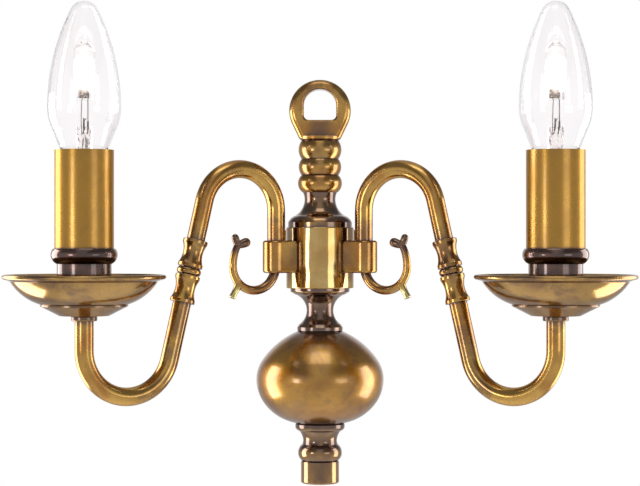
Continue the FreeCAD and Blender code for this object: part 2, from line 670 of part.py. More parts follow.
def make_ball():
    """The hollow flattened ball, with a thicker crown and foot round the rod."""
    blend = "cos(ball_blend_angle)"
    rise = "sin(ball_blend_angle)"
    upper_x = "ball_radius - ball_upper_round * (1 - %s)" % blend
    upper_z = "ball_middle + ball_upper_round * %s" % rise
    lower_x = "ball_radius - ball_lower_round * (1 - %s)" % blend
    lower_z = "ball_middle - ball_lower_round * %s" % rise
    turned("ball", [
        (ROD_BORE, "ball_bottom"),
        ("ball_foot", "ball_bottom", "bead", "ball_foot_round"),
        (lower_x, lower_z, "bead", "ball_lower_round"),
        ("ball_radius", "ball_middle", "bead", "ball_upper_round"),
        (upper_x, upper_z, "bead", "ball_crown_round"),
        ("ball_crown", "ball_top"),
        (ROD_BORE, "ball_top"),
        (ROD_BORE, "ball_top - ball_end_wall"),
        ("ball_crown", "ball_top - ball_end_wall", "cove", "ball_crown_round - ball_wall"),
        ("%s - ball_wall * %s" % (upper_x, blend), "%s - ball_wall * %s" % (upper_z, rise),
         "cove", "ball_upper_round - ball_wall"),
        ("ball_radius - ball_wall", "ball_middle", "cove", "ball_lower_round - ball_wall"),
        ("%s - ball_wall * %s" % (lower_x, blend), "%s + ball_wall * %s" % (lower_z, rise),
         "cove", "ball_foot_round - ball_wall"),
        ("ball_foot", "ball_bottom + ball_end_wall"),
        (ROD_BORE, "ball_bottom + ball_end_wall"),
    ])


def make_finial():
    """The finial that closes the column from below, with a blind bore for the rod."""
    turned("finial", [
        ("0", "foot_bottom"),
        ("foot_end - foot_end_round", "foot_bottom", "flow"),
        ("foot_end", "foot_bottom + foot_end_round"),
        ("foot_end", "foot_bead_bottom - fine_edge"),
        ("foot_end - soft_edge", "foot_bead_bottom", "bead",
         arc_over("foot_bead_top - foot_bead_bottom", "foot_bead - foot_end + soft_edge")),
        ("foot_waist + fine_edge", "foot_bead_top", "cove", "foot_cove"),
        ("foot_waist", "foot_waist_height", "flow"),
        ("foot_flange - foot_flange_set", "ball_bottom - foot_flange_height", "bead",
         "foot_flange_round"),
        ("foot_flange", "ball_bottom - foot_flange_height + foot_flange_set"),
        ("foot_flange", "ball_bottom - soft_edge"),
        ("foot_flange - soft_edge", "ball_bottom"),
        (ROD_BORE, "ball_bottom"),
        (ROD_BORE, "rod_bottom - bore_spare"),
        ("0", "rod_bottom - bore_spare - rod_radius / 2"),
    ])


def make_tie_rod():
    """The threaded rod through the whole column."""
    turned("tie_rod", [
        ("0", "rod_bottom"),
        ("rod_radius - rod_chamfer", "rod_bottom"),
        ("rod_radius", "rod_bottom + rod_chamfer"),
        ("rod_radius", "rod_top - rod_chamfer"),
        ("rod_radius - rod_chamfer", "rod_top"),
        ("0", "rod_top"),
    ])


def hexagon(flats):
    """The outline of a hexagon, point to point along x."""
    point = "(%s) / sqrt(3)" % flats
    half = "(%s) / 2" % flats
    return [
        (point, "0"),
        ("%s / 2" % point, half),
        ("-%s / 2" % point, half),
        ("-" + point, "0"),
        ("-%s / 2" % point, "-" + half),
        ("%s / 2" % point, "-" + half),
    ]


def make_hub_nuts():
    """The two nuts on the rod that hold cap and neck against the drum."""
    body = new_body("hub_nuts")
    body.AllowCompound = True
    sketch = add_sketch(body, "XY_Plane", lift="drum_bottom + register_depth")
    draw(sketch, hexagon("rod_nut_flats"))
    draw_circle(sketch, "0", "0", ROD_BORE)
    nut = pad(body, sketch, "rod_nut_thick")
    doc.recompute()
    pattern = body.newObject("PartDesign::LinearPattern", "hub_nuts_pair")
    pattern.Originals = [nut]
    upright = [feature for feature in body.Origin.OriginFeatures if feature.Role == "Z_Axis"]
    pattern.Direction = (upright[0], [""])
    pattern.Occurrences = 2
    pattern.setExpression("Length", bound(
        "drum_top - drum_bottom - 2 * register_depth - rod_nut_thick"))
    body.Tip = pattern


def make_connector():
    """The block inside the drum where the leads of the two arms meet: two ways, four screw wells."""
    body = new_body("terminal_block")
    sketch = add_sketch(body, "XY_Plane")
    front = "-rod_radius - connector_gap - connector_depth"
    draw(sketch, rectangle(
        "-connector_width / 2", front, "connector_width / 2", front + " + connector_depth"))
    pad(body, sketch, "connector_height", both_ways=True)
    dress(body, "Fillet", "connector_round", lambda edge: (
        abs(edge.tangentAt(edge.FirstParameter).z) > 0.9))
    middle = front + " + connector_depth / 2"
    ways = add_sketch(body, "XY_Plane")
    wells = add_sketch(body, "XZ_Plane", lift="-(%s)" % front)
    for hand in ("-", ""):
        draw_circle(ways, hand + "connector_pitch / 2", middle, "connector_way")
        for rise in ("-", ""):
            draw_circle(wells, hand + "connector_pitch / 2", rise + "connector_well_rise", "connector_well")
    cut(body, ways, "connector_height * 2", both_ways=True)
    cut(body, wells, "connector_depth / 2")


def make_wall_plate():
    """The domed round plate against the wall, with two countersunk screw holes."""
    body = new_body("wall_plate")
    body.setExpression("Placement.Base.y", "0")
    sketch = add_sketch(body, "YZ_Plane", y="plate_rise")
    draw(sketch, [
        ("-plate_thick", "0"),
        ("0", "0"),
        ("0", "plate_radius"),
        ("-plate_edge", "plate_radius"),
        ("-plate_thick", "plate_radius - plate_slope"),
    ])
    revolve(body, sketch, "H_Axis")
    holes = add_sketch(body, "XZ_Plane")
    draw_circle(holes, "0", "0", "plate_hole")
    draw_circle(holes, "screw_spacing / 2", "plate_rise", "screw_radius")
    draw_circle(holes, "-screw_spacing / 2", "plate_rise", "screw_radius")
    cut(body, holes, "plate_thick * 3", both_ways=True)
    small = value_of("screw_radius")
    front = -value_of("plate_thick")
    dress(body, "Chamfer", "screw_sink",
          lambda edge: is_circle(edge, small) and abs(edge.CenterOfMass.y - front) < 0.01)


def make_wall_stem():
    """The hollow turned stem from the wall plate to the drum, and the nut inside the drum."""
    body = new_body("wall_stem")
    body.setExpression("Placement.Base.y", "0")
    sketch = add_sketch(body, "YZ_Plane")
    drum_back = "-axis_reach + drum_radius + stem_end_gap"
    draw(sketch, [
        ("-axis_reach + spigot_reach", "cable_radius"),
        ("0", "cable_radius"),
        ("0", "plate_hole - seat_gap"),
        ("-plate_thick", "plate_hole - seat_gap"),
        ("-plate_thick", "stem_flange_radius"),
        ("-plate_thick - stem_flange + stem_flange_round", "stem_flange_radius", "flow"),
        ("-plate_thick - stem_flange", "stem_flange_radius - stem_flange_round"),
        ("-plate_thick - stem_flange", "stem_radius"),
        (drum_back, "stem_radius"),
        (drum_back, "spigot_radius"),
        ("-axis_reach + spigot_reach", "spigot_radius"),
    ])
    revolve(body, sketch, "H_Axis")


def make_spigot_nut(name, side=None):
    """The nut inside the drum on a spigot; the stem's nut lies toward the wall."""
    body = new_body(name, side)
    along = "YZ_Plane" if side else "XZ_Plane"
    seat = "sqrt((%s) ^ 2 - (nut_flats / sqrt(3)) ^ 2)" % DRUM_INSIDE
    lift = seat if side else "-" + seat
    sketch = add_sketch(body, along, lift=lift)
    draw(sketch, hexagon("nut_flats"))
    draw_circle(sketch, "0", "0", SPIGOT_HOLE)
    pad(body, sketch, "nut_thick", reverse=bool(side))


# ---------------------------------------------------------------- the arms

def make_arm_block(side):
    """The socket that joins an arm to the drum, with its hollow threaded spigot."""
    body = new_body(side + "_arm_block", side)
    sketch = add_sketch(body, "XY_Plane")
    end = "socket_reach + block_end_shift"
    draw(sketch, [
        ("block_heel", "-block_half_width"),
        (end, "-block_half_width", "flow"),
        (end + " + block_half_width", "0", "flow"),
        (end, "block_half_width"),
        ("block_heel", "block_half_width"),
    ])
    pad(body, sketch, "2 * block_half_height", both_ways=True)
    inner = value_of("block_heel") + 0.01
    dress(body, "Fillet", "block_corner", lambda edge: (
        abs(edge.tangentAt(edge.FirstParameter).y) > 0.9 and edge.BoundBox.XMax < inner))
    top = value_of("block_half_height") - 0.01
    dress(body, "Fillet", "block_edge", lambda edge: (
        abs(edge.CenterOfMass.z) > top and abs(edge.CenterOfMass.y) > 0.1))
    saddle = add_sketch(body, "XZ_Plane")
    draw(saddle, rectangle(
        "0", "-2 * block_half_height", "drum_radius + seat_gap", "2 * block_half_height"))
    revolve(body, saddle, kind="Groove")
    spigot = add_sketch(body, "YZ_Plane", lift="spigot_reach")
    draw_circle(spigot, "0", "0", "spigot_radius")
    pad(body, spigot, "socket_reach - spigot_reach")
    bore = add_sketch(body, "YZ_Plane")
    draw_circle(bore, "0", "0", "spigot_bore")
    cut(body, bore, "socket_reach", reverse=True)
    socket = add_sketch(body, "XY_Plane", lift="tube_seat")
    draw_circle(socket, "socket_reach", "0", "tube_radius + seat_gap")
    cut(body, socket, "block_half_height * 2", reverse=True)
    way = add_sketch(body, "XY_Plane", lift="-spigot_bore")
    draw_circle(way, "socket_reach", "0", "spigot_bore")
    cut(body, way, "tube_seat + 2 * spigot_bore", reverse=True)


def arm_path():
    """The centre line of an arm: riser, arch, slanting run, bow and the end under the pan."""
    arch_x = "socket_reach + arch_radius"
    bow_x = "candle_reach - bow_radius"
    return [
        ("socket_reach", "tube_seat"),
        ("socket_reach", "arch_height", "cove", "arch_radius"),
        (arch_x, "arch_height + arch_radius", "cove", "arch_radius"),
        (RUN_TOP_X, RUN_TOP_Z),
        (RUN_END_X, RUN_END_Z, "bead", "bow_radius"),
        (bow_x, "bow_height - bow_radius", "bead", "bow_radius"),
        ("candle_reach", "bow_height"),
        ("candle_reach", "tube_end"),
    ]


def make_arm_tube(side):
    """The bent tube."""
    body = new_body(side + "_arm_tube", side)
    path = add_sketch(body, "XZ_Plane")
    draw(path, arm_path(), closed=False)
    ring = add_sketch(body, "XY_Plane", lift="tube_seat")
    draw_circle(ring, "socket_reach", "0", "tube_radius")
    draw_circle(ring, "socket_reach", "0", "tube_radius - tube_wall")
    sweep(body, ring, path)


def on_the_run(share):
    """Place and turn of a sketch whose upright axis lies on the slanting run."""
    x = "%s + (%s - %s) * (%s)" % (RUN_END_X, RUN_TOP_X, RUN_END_X, share)
    y = "%s + (%s - %s) * (%s)" % (RUN_END_Z, RUN_TOP_Z, RUN_END_Z, share)
    return x, y, RUN_ANGLE


def make_knuckle(side):
    """The knuckle: two waisted spools with a ring between them, pushed onto the tube."""
    x, y, turn = on_the_run("knuckle_share")
    bore = "tube_radius + seat_gap"
    cove = arc_over("spool_length - 2 * spool_land", "spool_rim - spool_waist")
    for name, start in (("upper_spool", "knuckle_ring_length / 2 + knuckle_gap"),
                        ("lower_spool", "-knuckle_ring_length / 2 - knuckle_gap - spool_length")):
        end = "(%s) + spool_length" % start
        turned(side + "_" + name, [
            (bore, start),
            ("spool_rim - fine_edge", start, "flow"),
            ("spool_rim", "(%s) + fine_edge" % start),
            ("spool_rim", "(%s) + spool_land" % start, "cove", cove),
            ("spool_rim", "(%s) - spool_land" % end),
            ("spool_rim", "(%s) - fine_edge" % end, "flow"),
            ("spool_rim - fine_edge", end),
            (bore, end),
        ], side, x, y, turn)
    half = "knuckle_ring_length / 2"
    turned(side + "_knuckle_ring", [
        (bore, "-" + half),
        ("knuckle_ring_radius - knuckle_ring_bulge", "-" + half, "bead",
         arc_over("knuckle_ring_length", "knuckle_ring_bulge")),
        ("knuckle_ring_radius - knuckle_ring_bulge", half),
        (bore, half),
    ], side, x, y, turn)


def make_scroll(side):
    """The forged scroll under the block, with two leaves at its end and a thorn below."""
    body = new_body(side + "_scroll", side)
    start_x = "scroll_reach - sqrt(scroll_radius ^ 2 - (block_half_height + scroll_height) ^ 2)"
    tail_x = "scroll_reach + scroll_radius - scroll_tail_radius"
    end_x = "%s + scroll_tail_radius * cos(scroll_tail_angle)" % tail_x
    end_z = "scroll_height + scroll_tail_radius * sin(scroll_tail_angle)"
    path = add_sketch(body, "XZ_Plane")
    draw(path, [
        (start_x, "-block_half_height", "bead", "scroll_radius"),
        ("scroll_reach", "scroll_height - scroll_radius", "bead", "scroll_radius"),
        ("scroll_reach + scroll_radius", "scroll_height", "bead", "scroll_tail_radius"),
        (end_x, end_z),
    ], closed=False)
    section = add_sketch(body, "XY_Plane", lift="-block_half_height")
    draw_circle(section, start_x, "0", "scroll_thick")
    tip = add_sketch(body, "XY_Plane", end_x, lift=end_z, turn="-scroll_tail_angle", about=(0, 1, 0))
    draw_circle(tip, "0", "0", "scroll_thin")
    sweep(body, section, path, tip)
    for tilt, length, radius in (("outer_leaf_tilt", "outer_leaf_length", "outer_leaf_radius"),
                                 ("inner_leaf_tilt", "inner_leaf_length", "inner_leaf_radius")):
        leaf = add_sketch(body, "XZ_Plane", end_x, end_z, turn=tilt)
        draw(leaf, [
            ("0", "-leaf_neck"),
            ("leaf_neck", "0", "bead", arc_over("%s - %s" % (length, radius), "leaf_swell")),
            (radius, "%s - %s" % (length, radius), "bead", radius),
            ("0", length),
        ])
        revolve(body, leaf)
    thorn_x = "scroll_reach + scroll_radius * cos(thorn_angle)"
    thorn_z = "scroll_height + scroll_radius * sin(thorn_angle)"
    thorn = add_sketch(body, "XZ_Plane", thorn_x, thorn_z, turn="thorn_tilt")
    draw(thorn, [
        ("0", "0"),
        ("thorn_root", "0", "cove", arc_over("thorn_length - fine_edge", "thorn_hollow")),
        ("thorn_radius", "thorn_length - fine_edge"),
        ("thorn_radius - fine_edge", "thorn_length"),
        ("0", "thorn_length"),
    ])
    revolve(body, thorn)


# ---------------------------------------------------------------- what stands on an arm

def on_candle(name, side, outline):
    """A turned piece on the candle's axis."""
    return turned(side + "_" + name, outline, side, x="candle_reach")


def make_drip_pan(side):
    """The spun drip pan with its rolled rim, flat lip, stepped bowl and pierced floor."""
    hole = "nipple_radius + seat_gap"
    under = "-pan_lip_drop"
    on_candle("drip_pan", side, [
        (hole, "pan_bottom"),
        ("pan_floor", "pan_bottom"),
        ("pan_step", "pan_step_height - pan_step_drop"),
        ("pan_step", "pan_step_height", "bead", "pan_bowl_round"),
        ("pan_lip", under),
        ("pan_radius - pan_roll", "pan_rim - 2 * pan_roll", "bead", "pan_roll"),
        ("pan_radius", "pan_rim - pan_roll", "bead", "pan_roll"),
        ("pan_radius - pan_roll", "pan_rim"),
        ("pan_lip - pan_wall / 2", under + " + pan_wall", "cove", "pan_bowl_round - pan_wall"),
        ("pan_step - pan_wall", "pan_step_height + pan_wall"),
        ("pan_step - pan_wall", "pan_step_height - pan_step_drop + pan_wall"),
        ("pan_floor - pan_wall / 2", "pan_bottom + pan_wall"),
        (hole, "pan_bottom + pan_wall"),
    ])


def make_pan_collar(side):
    """The ring nut on the nipple under the pan."""
    on_candle("pan_collar", side, [
        ("nipple_radius + seat_gap", "tube_end"),
        ("pan_collar_radius - soft_edge", "tube_end", "flow"),
        ("pan_collar_radius", "tube_end + soft_edge"),
        ("pan_collar_radius", "pan_bottom - soft_edge", "flow"),
        ("pan_collar_radius - soft_edge", "pan_bottom"),
        ("nipple_radius + seat_gap", "pan_bottom"),
    ])


def make_nipple(side):
    """The stepped hollow nipple: plugged into the tube, it clamps what stands on the arm."""
    plug = "tube_radius - tube_wall - seat_gap"
    on_candle("arm_nipple", side, [
        ("nipple_bore", "tube_end - nipple_plug"),
        (plug, "tube_end - nipple_plug"),
        (plug, "tube_end"),
        ("nipple_radius", "tube_end"),
        ("nipple_radius", "nipple_top"),
        ("nipple_bore", "nipple_top"),
    ])


def make_cup(side):
    """The candle cup: a hollow foot in the pan, a neck, and a rounded rim round the tube."""
    foot = "pan_bottom + pan_wall"
    mouth = "candle_radius + sleeve_gap"
    neck = "candle_radius - cup_neck_inset"
    floor_under = "cup_floor - cup_wall"
    on_candle("candle_cup", side, [
        ("cup_foot - cup_wall", foot),
        ("cup_foot", foot),
        ("cup_foot", foot + " + cup_foot_height", "cove", "cup_cove"),
        (neck, "cup_neck_bottom"),
        (neck, "cup_rim_bottom", "bead", "cup_rim_round"),
        (mouth + " + cup_rim_wall - cup_rim_flat", "cup_rim_top"),
        (mouth, "cup_rim_top"),
        (mouth, "cup_floor"),
        ("nipple_radius + seat_gap", "cup_floor"),
        ("nipple_radius + seat_gap", floor_under),
        (neck + " - cup_wall", floor_under),
        (neck + " - cup_wall", "cup_neck_bottom + cup_wall / 3", "bead", "cup_cove"),
        ("cup_foot - cup_wall", foot + " + cup_foot_height - cup_wall / 3"),
    ])


def make_candle_tube(side):
    """The loose brass sleeve that stands in the cup and hides the lampholder."""
    on_candle("candle_tube", side, rectangle(
        "candle_radius - candle_wall", "cup_floor", "candle_radius", "candle_top"))


def make_lampholder(side):
    """The insulating body, its threaded shell and the sprung centre contact."""
    shell_bore = "lamp_cap_radius + shell_gap"
    shell_out = shell_bore + " + shell_sheet"
    on_candle("lampholder_body", side, [
        ("nipple_radius + seat_gap", "cup_floor"),
        ("holder_foot", "cup_floor"),
        ("holder_foot", "holder_step"),
        ("holder_radius", "holder_step + holder_flare"),
        ("holder_radius", "holder_top - soft_edge", "flow"),
        ("holder_radius - soft_edge", "holder_top"),
        (shell_out + " + seat_gap", "holder_top"),
        (shell_out + " + seat_gap", "holder_shelf"),
        ("holder_eye", "holder_shelf"),
        ("holder_eye", "holder_chamber"),
        ("holder_chamber_radius", "holder_chamber"),
        ("holder_chamber_radius", "nipple_top + holder_ledge"),
        ("nipple_radius + seat_gap", "nipple_top + holder_ledge"),
    ])
    on_candle("screw_shell", side, [
        ("shell_eye", "holder_shelf"),
        (shell_out, "holder_shelf"),
        (shell_out, "shell_top"),
        (shell_bore, "shell_top"),
        (shell_bore, "holder_shelf + shell_sheet"),
        ("shell_eye", "holder_shelf + shell_sheet"),
    ])
    body = new_body(side + "_centre_contact", side)
    sketch = add_sketch(body, "XZ_Plane", x="candle_reach")
    top = LAMP_FOOT + " - contact_gap"
    draw(sketch, [
        ("-contact_foot", "holder_shelf"),
        ("contact_rise", "holder_shelf"),
        ("contact_crest", top + " - contact_sheet"),
        ("contact_end", top + " - contact_sheet - contact_drop"),
        ("contact_end", top + " - contact_drop"),
        ("contact_crest", top),
        ("contact_rise", "holder_shelf + contact_sheet"),
        ("-contact_foot", "holder_shelf + contact_sheet"),
    ])
    pad(body, sketch, "2 * contact_half_width", both_ways=True)


# ---------------------------------------------------------------- the lamp

def make_lamp(side):
    """A clear candle lamp: screw cap, contact, glass, stem, capsule and lead wires."""
    on_candle("lamp_contact", side, [
        ("0", LAMP_FOOT),
        ("lamp_button_radius", LAMP_FOOT),
        ("lamp_button_radius", LAMP_FOOT + " + lamp_button_height"),
        ("lamp_insulator_radius", CAP_START + " - turning_gap"),
        ("lamp_insulator_radius", CAP_START + " + lamp_insulator_depth"),
        ("0", CAP_START + " + lamp_insulator_depth"),
    ])
    hole = "lamp_insulator_radius + turning_gap"
    on_candle("lamp_cap", side, [
        (hole, CAP_START),
        ("lamp_cap_radius - soft_edge", CAP_START),
        ("lamp_cap_radius", CAP_START + " + lamp_cap_taper"),
        ("lamp_cap_radius", CAP_END + " - lamp_cap_skirt"),
        ("lamp_cap_neck", CAP_END),
        ("lamp_cap_neck - lamp_cap_sheet", CAP_END),
        ("lamp_cap_radius - lamp_cap_sheet", CAP_END + " - lamp_cap_skirt"),
        ("lamp_cap_radius - lamp_cap_sheet", CAP_START + " + lamp_cap_taper"),
        (hole, CAP_START + " + lamp_cap_sheet"),
    ])
    seat = "(%s - glass_seat)" % CAP_END
    tip = "lamp_tip - glass_tip_round + sqrt(glass_tip_round ^ 2 - glass_tip_radius ^ 2)"
    inner_tip = "(glass_tip_round - glass_sheet)"
    inner_radius = "(glass_tip_radius * %s / glass_tip_round)" % inner_tip
    inner_height = "lamp_tip - glass_tip_round + sqrt(%s ^ 2 - %s ^ 2)" % (inner_tip, inner_radius)
    on_candle("lamp_glass", side, [
        ("flare_radius", seat),
        ("glass_throat", seat),
        ("glass_throat", CAP_END + " - glass_flare_start", "cove", "glass_throat_cove"),
        ("glass_neck_radius", "glass_neck_height"),
        ("glass_belly_radius", "glass_belly_height", "bead", "glass_belly_round"),
        ("glass_radius", "glass_middle", "bead", "glass_flank_round"),
        ("glass_tip_radius", tip, "bead", "glass_tip_round"),
        ("0", "lamp_tip"),
        ("0", "lamp_tip - glass_sheet", "cove", inner_tip),
        (inner_radius, inner_height, "cove", "glass_flank_round - glass_sheet"),
        ("glass_radius - glass_sheet", "glass_middle", "cove", "glass_belly_round - glass_sheet"),
        ("glass_belly_radius - glass_sheet", "glass_belly_height"),
        ("glass_neck_radius - glass_sheet", "glass_neck_height + glass_sheet / 3", "bead",
         "glass_throat_cove + glass_sheet"),
        ("glass_throat - glass_sheet", CAP_END + " - glass_flare_start + glass_sheet / 3"),
        ("glass_throat - glass_sheet", seat + " + glass_sheet"),
        ("flare_radius", seat + " + glass_sheet"),
    ])
    stem = turned(side + "_lamp_stem", [
        ("0", seat + " + glass_sheet"),
        ("flare_radius", seat),
        ("flare_radius", seat + " + glass_sheet", "cove", "flare_length"),
        ("press_half_thick", seat + " + flare_length"),
        ("0", seat + " + flare_length"),
    ], side, x="candle_reach")
    press = add_sketch(stem, "XZ_Plane", x="candle_reach")
    draw(press, rectangle(
        "-press_half_width", seat + " + flare_length - press_root", "press_half_width", "press_top"))
    pad(stem, press, "2 * press_half_thick", both_ways=True)
    capsule = turned(side + "_lamp_capsule", [
        ("0", "capsule_bottom"),
        ("capsule_radius - capsule_shoulder", "capsule_bottom", "flow"),
        ("capsule_radius", "capsule_bottom + capsule_shoulder"),
        ("capsule_radius", "capsule_top - capsule_radius", "bead", "capsule_radius"),
        ("0", "capsule_top"),
    ], side, x="candle_reach")
    pinch = add_sketch(capsule, "XZ_Plane", x="candle_reach")
    draw(pinch, rectangle("-pinch_half_width", "capsule_bottom - pinch_height", "pinch_half_width",
                          "capsule_bottom + capsule_overlap"))
    pad(capsule, pinch, "2 * pinch_half_thick", both_ways=True)
    wires = new_body(side + "_lamp_wires", side)
    wires.AllowCompound = True
    base = add_sketch(wires, "XY_Plane", lift="press_top")
    draw_circle(base, "candle_reach - wire_spread / 2", "0", "wire_radius")
    draw_circle(base, "candle_reach + wire_spread / 2", "0", "wire_radius")
    pad(wires, base, "capsule_bottom - pinch_height - press_top")


def make_lead(side):
    """The flexible lead through spigot, block and tube up to the lampholder."""
    body = new_body(side + "_arm_lead", side)
    path = add_sketch(body, "XZ_Plane")
    draw(path, [
        ("lead_reach", "0"),
        ("socket_reach - lead_bend", "0", "flow"),
        ("socket_reach", "lead_bend"),
    ] + arm_path()[1:-1] + [("candle_reach", "holder_chamber")], closed=False)
    section = add_sketch(body, "YZ_Plane", lift="lead_reach")
    draw_circle(section, "0", "0", "lead_radius")
    sweep(body, section, path)


# ---------------------------------------------------------------- the whole light

make_ring_finial()
make_bell_cap()
make_hub_drum()
make_hub_neck()
make_ball()
make_finial()
make_tie_rod()
make_hub_nuts()
make_connector()
make_wall_plate()
make_wall_stem()
make_spigot_nut("stem_nut")
for hand in ("left", "right"):
    make_arm_block(hand)
    make_spigot_nut(hand + "_block_nut", hand)
    make_arm_tube(hand)
    make_knuckle(hand)
    make_scroll(hand)
    make_drip_pan(hand)
    make_pan_collar(hand)
    make_nipple(hand)
    make_cup(hand)
    make_candle_tube(hand)
    make_lampholder(hand)
    make_lamp(hand)
    make_lead(hand)
doc.recompute()

failed = [thing.Label for thing in doc.Objects if {"Invalid", "Error"} & set(thing.State)]
assert not failed, "failed: " + ", ".join(failed)
for node in NODES:
    assert not node.Shape.isNull() and node.Shape.isValid(), node.Label + " has no valid shape"
    assert node.Shape.Solids, node.Label + " has no solid"
os.makedirs("parts", exist_ok=True)
for node in NODES:
    node.Shape.exportStep(os.path.join("parts", node.Label + ".step"))
print("pieces:", len(NODES))
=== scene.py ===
import math

import bpy
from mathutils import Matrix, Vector


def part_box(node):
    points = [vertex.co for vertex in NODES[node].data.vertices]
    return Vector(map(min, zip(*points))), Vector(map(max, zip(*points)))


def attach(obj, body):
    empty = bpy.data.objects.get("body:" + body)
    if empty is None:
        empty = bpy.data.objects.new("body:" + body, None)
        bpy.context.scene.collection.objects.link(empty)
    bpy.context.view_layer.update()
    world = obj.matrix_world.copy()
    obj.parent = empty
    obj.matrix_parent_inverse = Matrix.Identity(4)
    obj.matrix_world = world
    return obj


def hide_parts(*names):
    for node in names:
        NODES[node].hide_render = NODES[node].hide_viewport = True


# The looks of a double arm wall light in aged, polished brass with two clear candle lamps.
# Metres, +Z up, the room at -Y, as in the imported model.

SIDES = ("left", "right")
SHADE_SAMPLES = 12          # rays of each look into a hollow
RINGS_ON_FLATS = 0.83       # how much closer a lathe's rings stand on a flat face than on a side
WAVE_SCALE = 75.0           # the slow waves in polished metal
LATHE_HEIGHT = 0.00001
POLISH_HEIGHT = 0.000004
SPECK_TONE = 0.3            # how far fine specks go toward the dull tone
WORN_CLOUDS, WORN_SPECKS, WORN_HOLLOWS = 0.35, 0.25, 0.5    # what each adds to the roughness
SMOOTH_ANGLE = math.radians(40)
WELD = 0.000001

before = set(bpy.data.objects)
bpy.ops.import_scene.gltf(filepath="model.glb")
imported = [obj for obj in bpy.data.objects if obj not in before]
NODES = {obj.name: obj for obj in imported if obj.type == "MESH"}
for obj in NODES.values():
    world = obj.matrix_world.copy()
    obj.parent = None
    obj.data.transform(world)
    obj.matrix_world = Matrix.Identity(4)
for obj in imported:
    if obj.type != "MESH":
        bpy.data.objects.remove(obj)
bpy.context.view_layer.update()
bpy.ops.object.select_all(action="DESELECT")


def axis_of(node):
    """The middle of a node's box, seen from above."""
    low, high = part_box(node)
    return (low.x + high.x) / 2, (low.y + high.y) / 2


COLUMN = axis_of("tie_rod")
CANDLES = {side: axis_of(side + "_candle_tube") for side in SIDES}


# ---------------------------------------------------------------- node trees

def wire(tree, source, target):
    """Feed a socket from an output, or set it to a plain value."""
    if isinstance(source, bpy.types.NodeSocket):
        tree.links.new(source, target)
    else:
        target.default_value = source


def math_node(tree, operation, first, second=0.0, third=0.0, clamp=False):
    """One arithmetic step."""
    node = tree.nodes.new("ShaderNodeMath")
    node.operation = operation
    node.use_clamp = clamp
    for socket, value in zip(node.inputs, (first, second, third)):
        wire(tree, value, socket)
    return node.outputs[0]


def mix_colour(tree, share, first, second, blend="MIX"):
    """Two colours mixed by a share."""
    node = tree.nodes.new("ShaderNodeMix")
    node.data_type = "RGBA"
    node.blend_type = blend
    wire(tree, share, node.inputs["Factor"])
    wire(tree, first, node.inputs["A"])
    wire(tree, second, node.inputs["B"])
    return node.outputs["Result"]


def spread(tree, value, low, high, start=0.0, end=1.0, smooth=False):
    """A value carried from one range to another, held at both ends."""
    node = tree.nodes.new("ShaderNodeMapRange")
    node.interpolation_type = "SMOOTHSTEP" if smooth else "LINEAR"
    for socket, number in zip(node.inputs, (value, low, high, start, end)):
        wire(tree, number, socket)
    return node.outputs["Result"]


def noise(tree, vector, scale, detail=3.0, roughness=0.55, distortion=0.0):
    """Cloudy noise between 0 and 1."""
    node = tree.nodes.new("ShaderNodeTexNoise")
    for name, value in (("Vector", vector), ("Scale", scale), ("Detail", detail),
                        ("Roughness", roughness), ("Distortion", distortion)):
        wire(tree, value, node.inputs[name])
    return node.outputs["Fac"]


def stretched(tree, vector, scales, place=(0.0, 0.0, 0.0), turn=(0.0, 0.0, 0.0)):
    """Coordinates moved, turned and stretched."""
    node = tree.nodes.new("ShaderNodeMapping")
    node.vector_type = "POINT"
    wire(tree, vector, node.inputs["Vector"])
    node.inputs["Location"].default_value = place
    node.inputs["Rotation"].default_value = turn
    node.inputs["Scale"].default_value = scales
    return node.outputs["Vector"]


def new_group(name, inputs, outputs):
    """An empty shader node group with named sockets."""
    tree = bpy.data.node_groups.new(name, "ShaderNodeTree")
    for label, kind, value in inputs:
        socket = tree.interface.new_socket(label, in_out="INPUT", socket_type="NodeSocket" + kind)
        if value is not None:
            socket.default_value = value
    for label, kind in outputs:
        tree.interface.new_socket(label, in_out="OUTPUT", socket_type="NodeSocket" + kind)
    given = tree.nodes.new("NodeGroupInput")
    result = tree.nodes.new("NodeGroupOutput")
    return tree, given.outputs, result.inputs


def make_hollow_dirt():
    """Brown patina that stays in hollows and corners, broken up by noise."""
    tree, given, result = new_group(
        "hollow_dirt",
        [("Vector", "Vector", None), ("Reach", "Float", 0.004), ("Grain", "Float", 300.0),
         ("Open", "Float", 0.88), ("Closed", "Float", 0.45)],
        [("Mask", "Float")])
    shade = tree.nodes.new("ShaderNodeAmbientOcclusion")
    shade.samples = SHADE_SAMPLES
    shade.only_local = False
    wire(tree, given["Reach"], shade.inputs["Distance"])
    closed = spread(tree, shade.outputs["AO"], given["Open"], given["Closed"])
    patches = noise(tree, given["Vector"], given["Grain"], 4.0, 0.6)
    broken = math_node(tree, "MULTIPLY", closed, spread(tree, patches, 0.25, 0.6, 0.55, 1.25))
    wire(tree, math_node(tree, "MINIMUM", broken, 1.0), result["Mask"])
    return tree


def make_mottle():
    """The uneven tone of aged and lacquered brass: wide clouds and fine specks."""
    tree, given, result = new_group(
        "mottle",
        [("Vector", "Vector", None), ("Clouds", "Float", 55.0), ("Specks", "Float", 900.0)],
        [("Clouds", "Float"), ("Specks", "Float")])
    clouds = noise(tree, given["Vector"], given["Clouds"], 3.0, 0.5, 0.6)
    specks = noise(tree, given["Vector"], given["Specks"], 2.0, 0.6)
    wire(tree, spread(tree, clouds, 0.36, 0.66, smooth=True), result["Clouds"])
    wire(tree, spread(tree, specks, 0.42, 0.72), result["Specks"])
    return tree


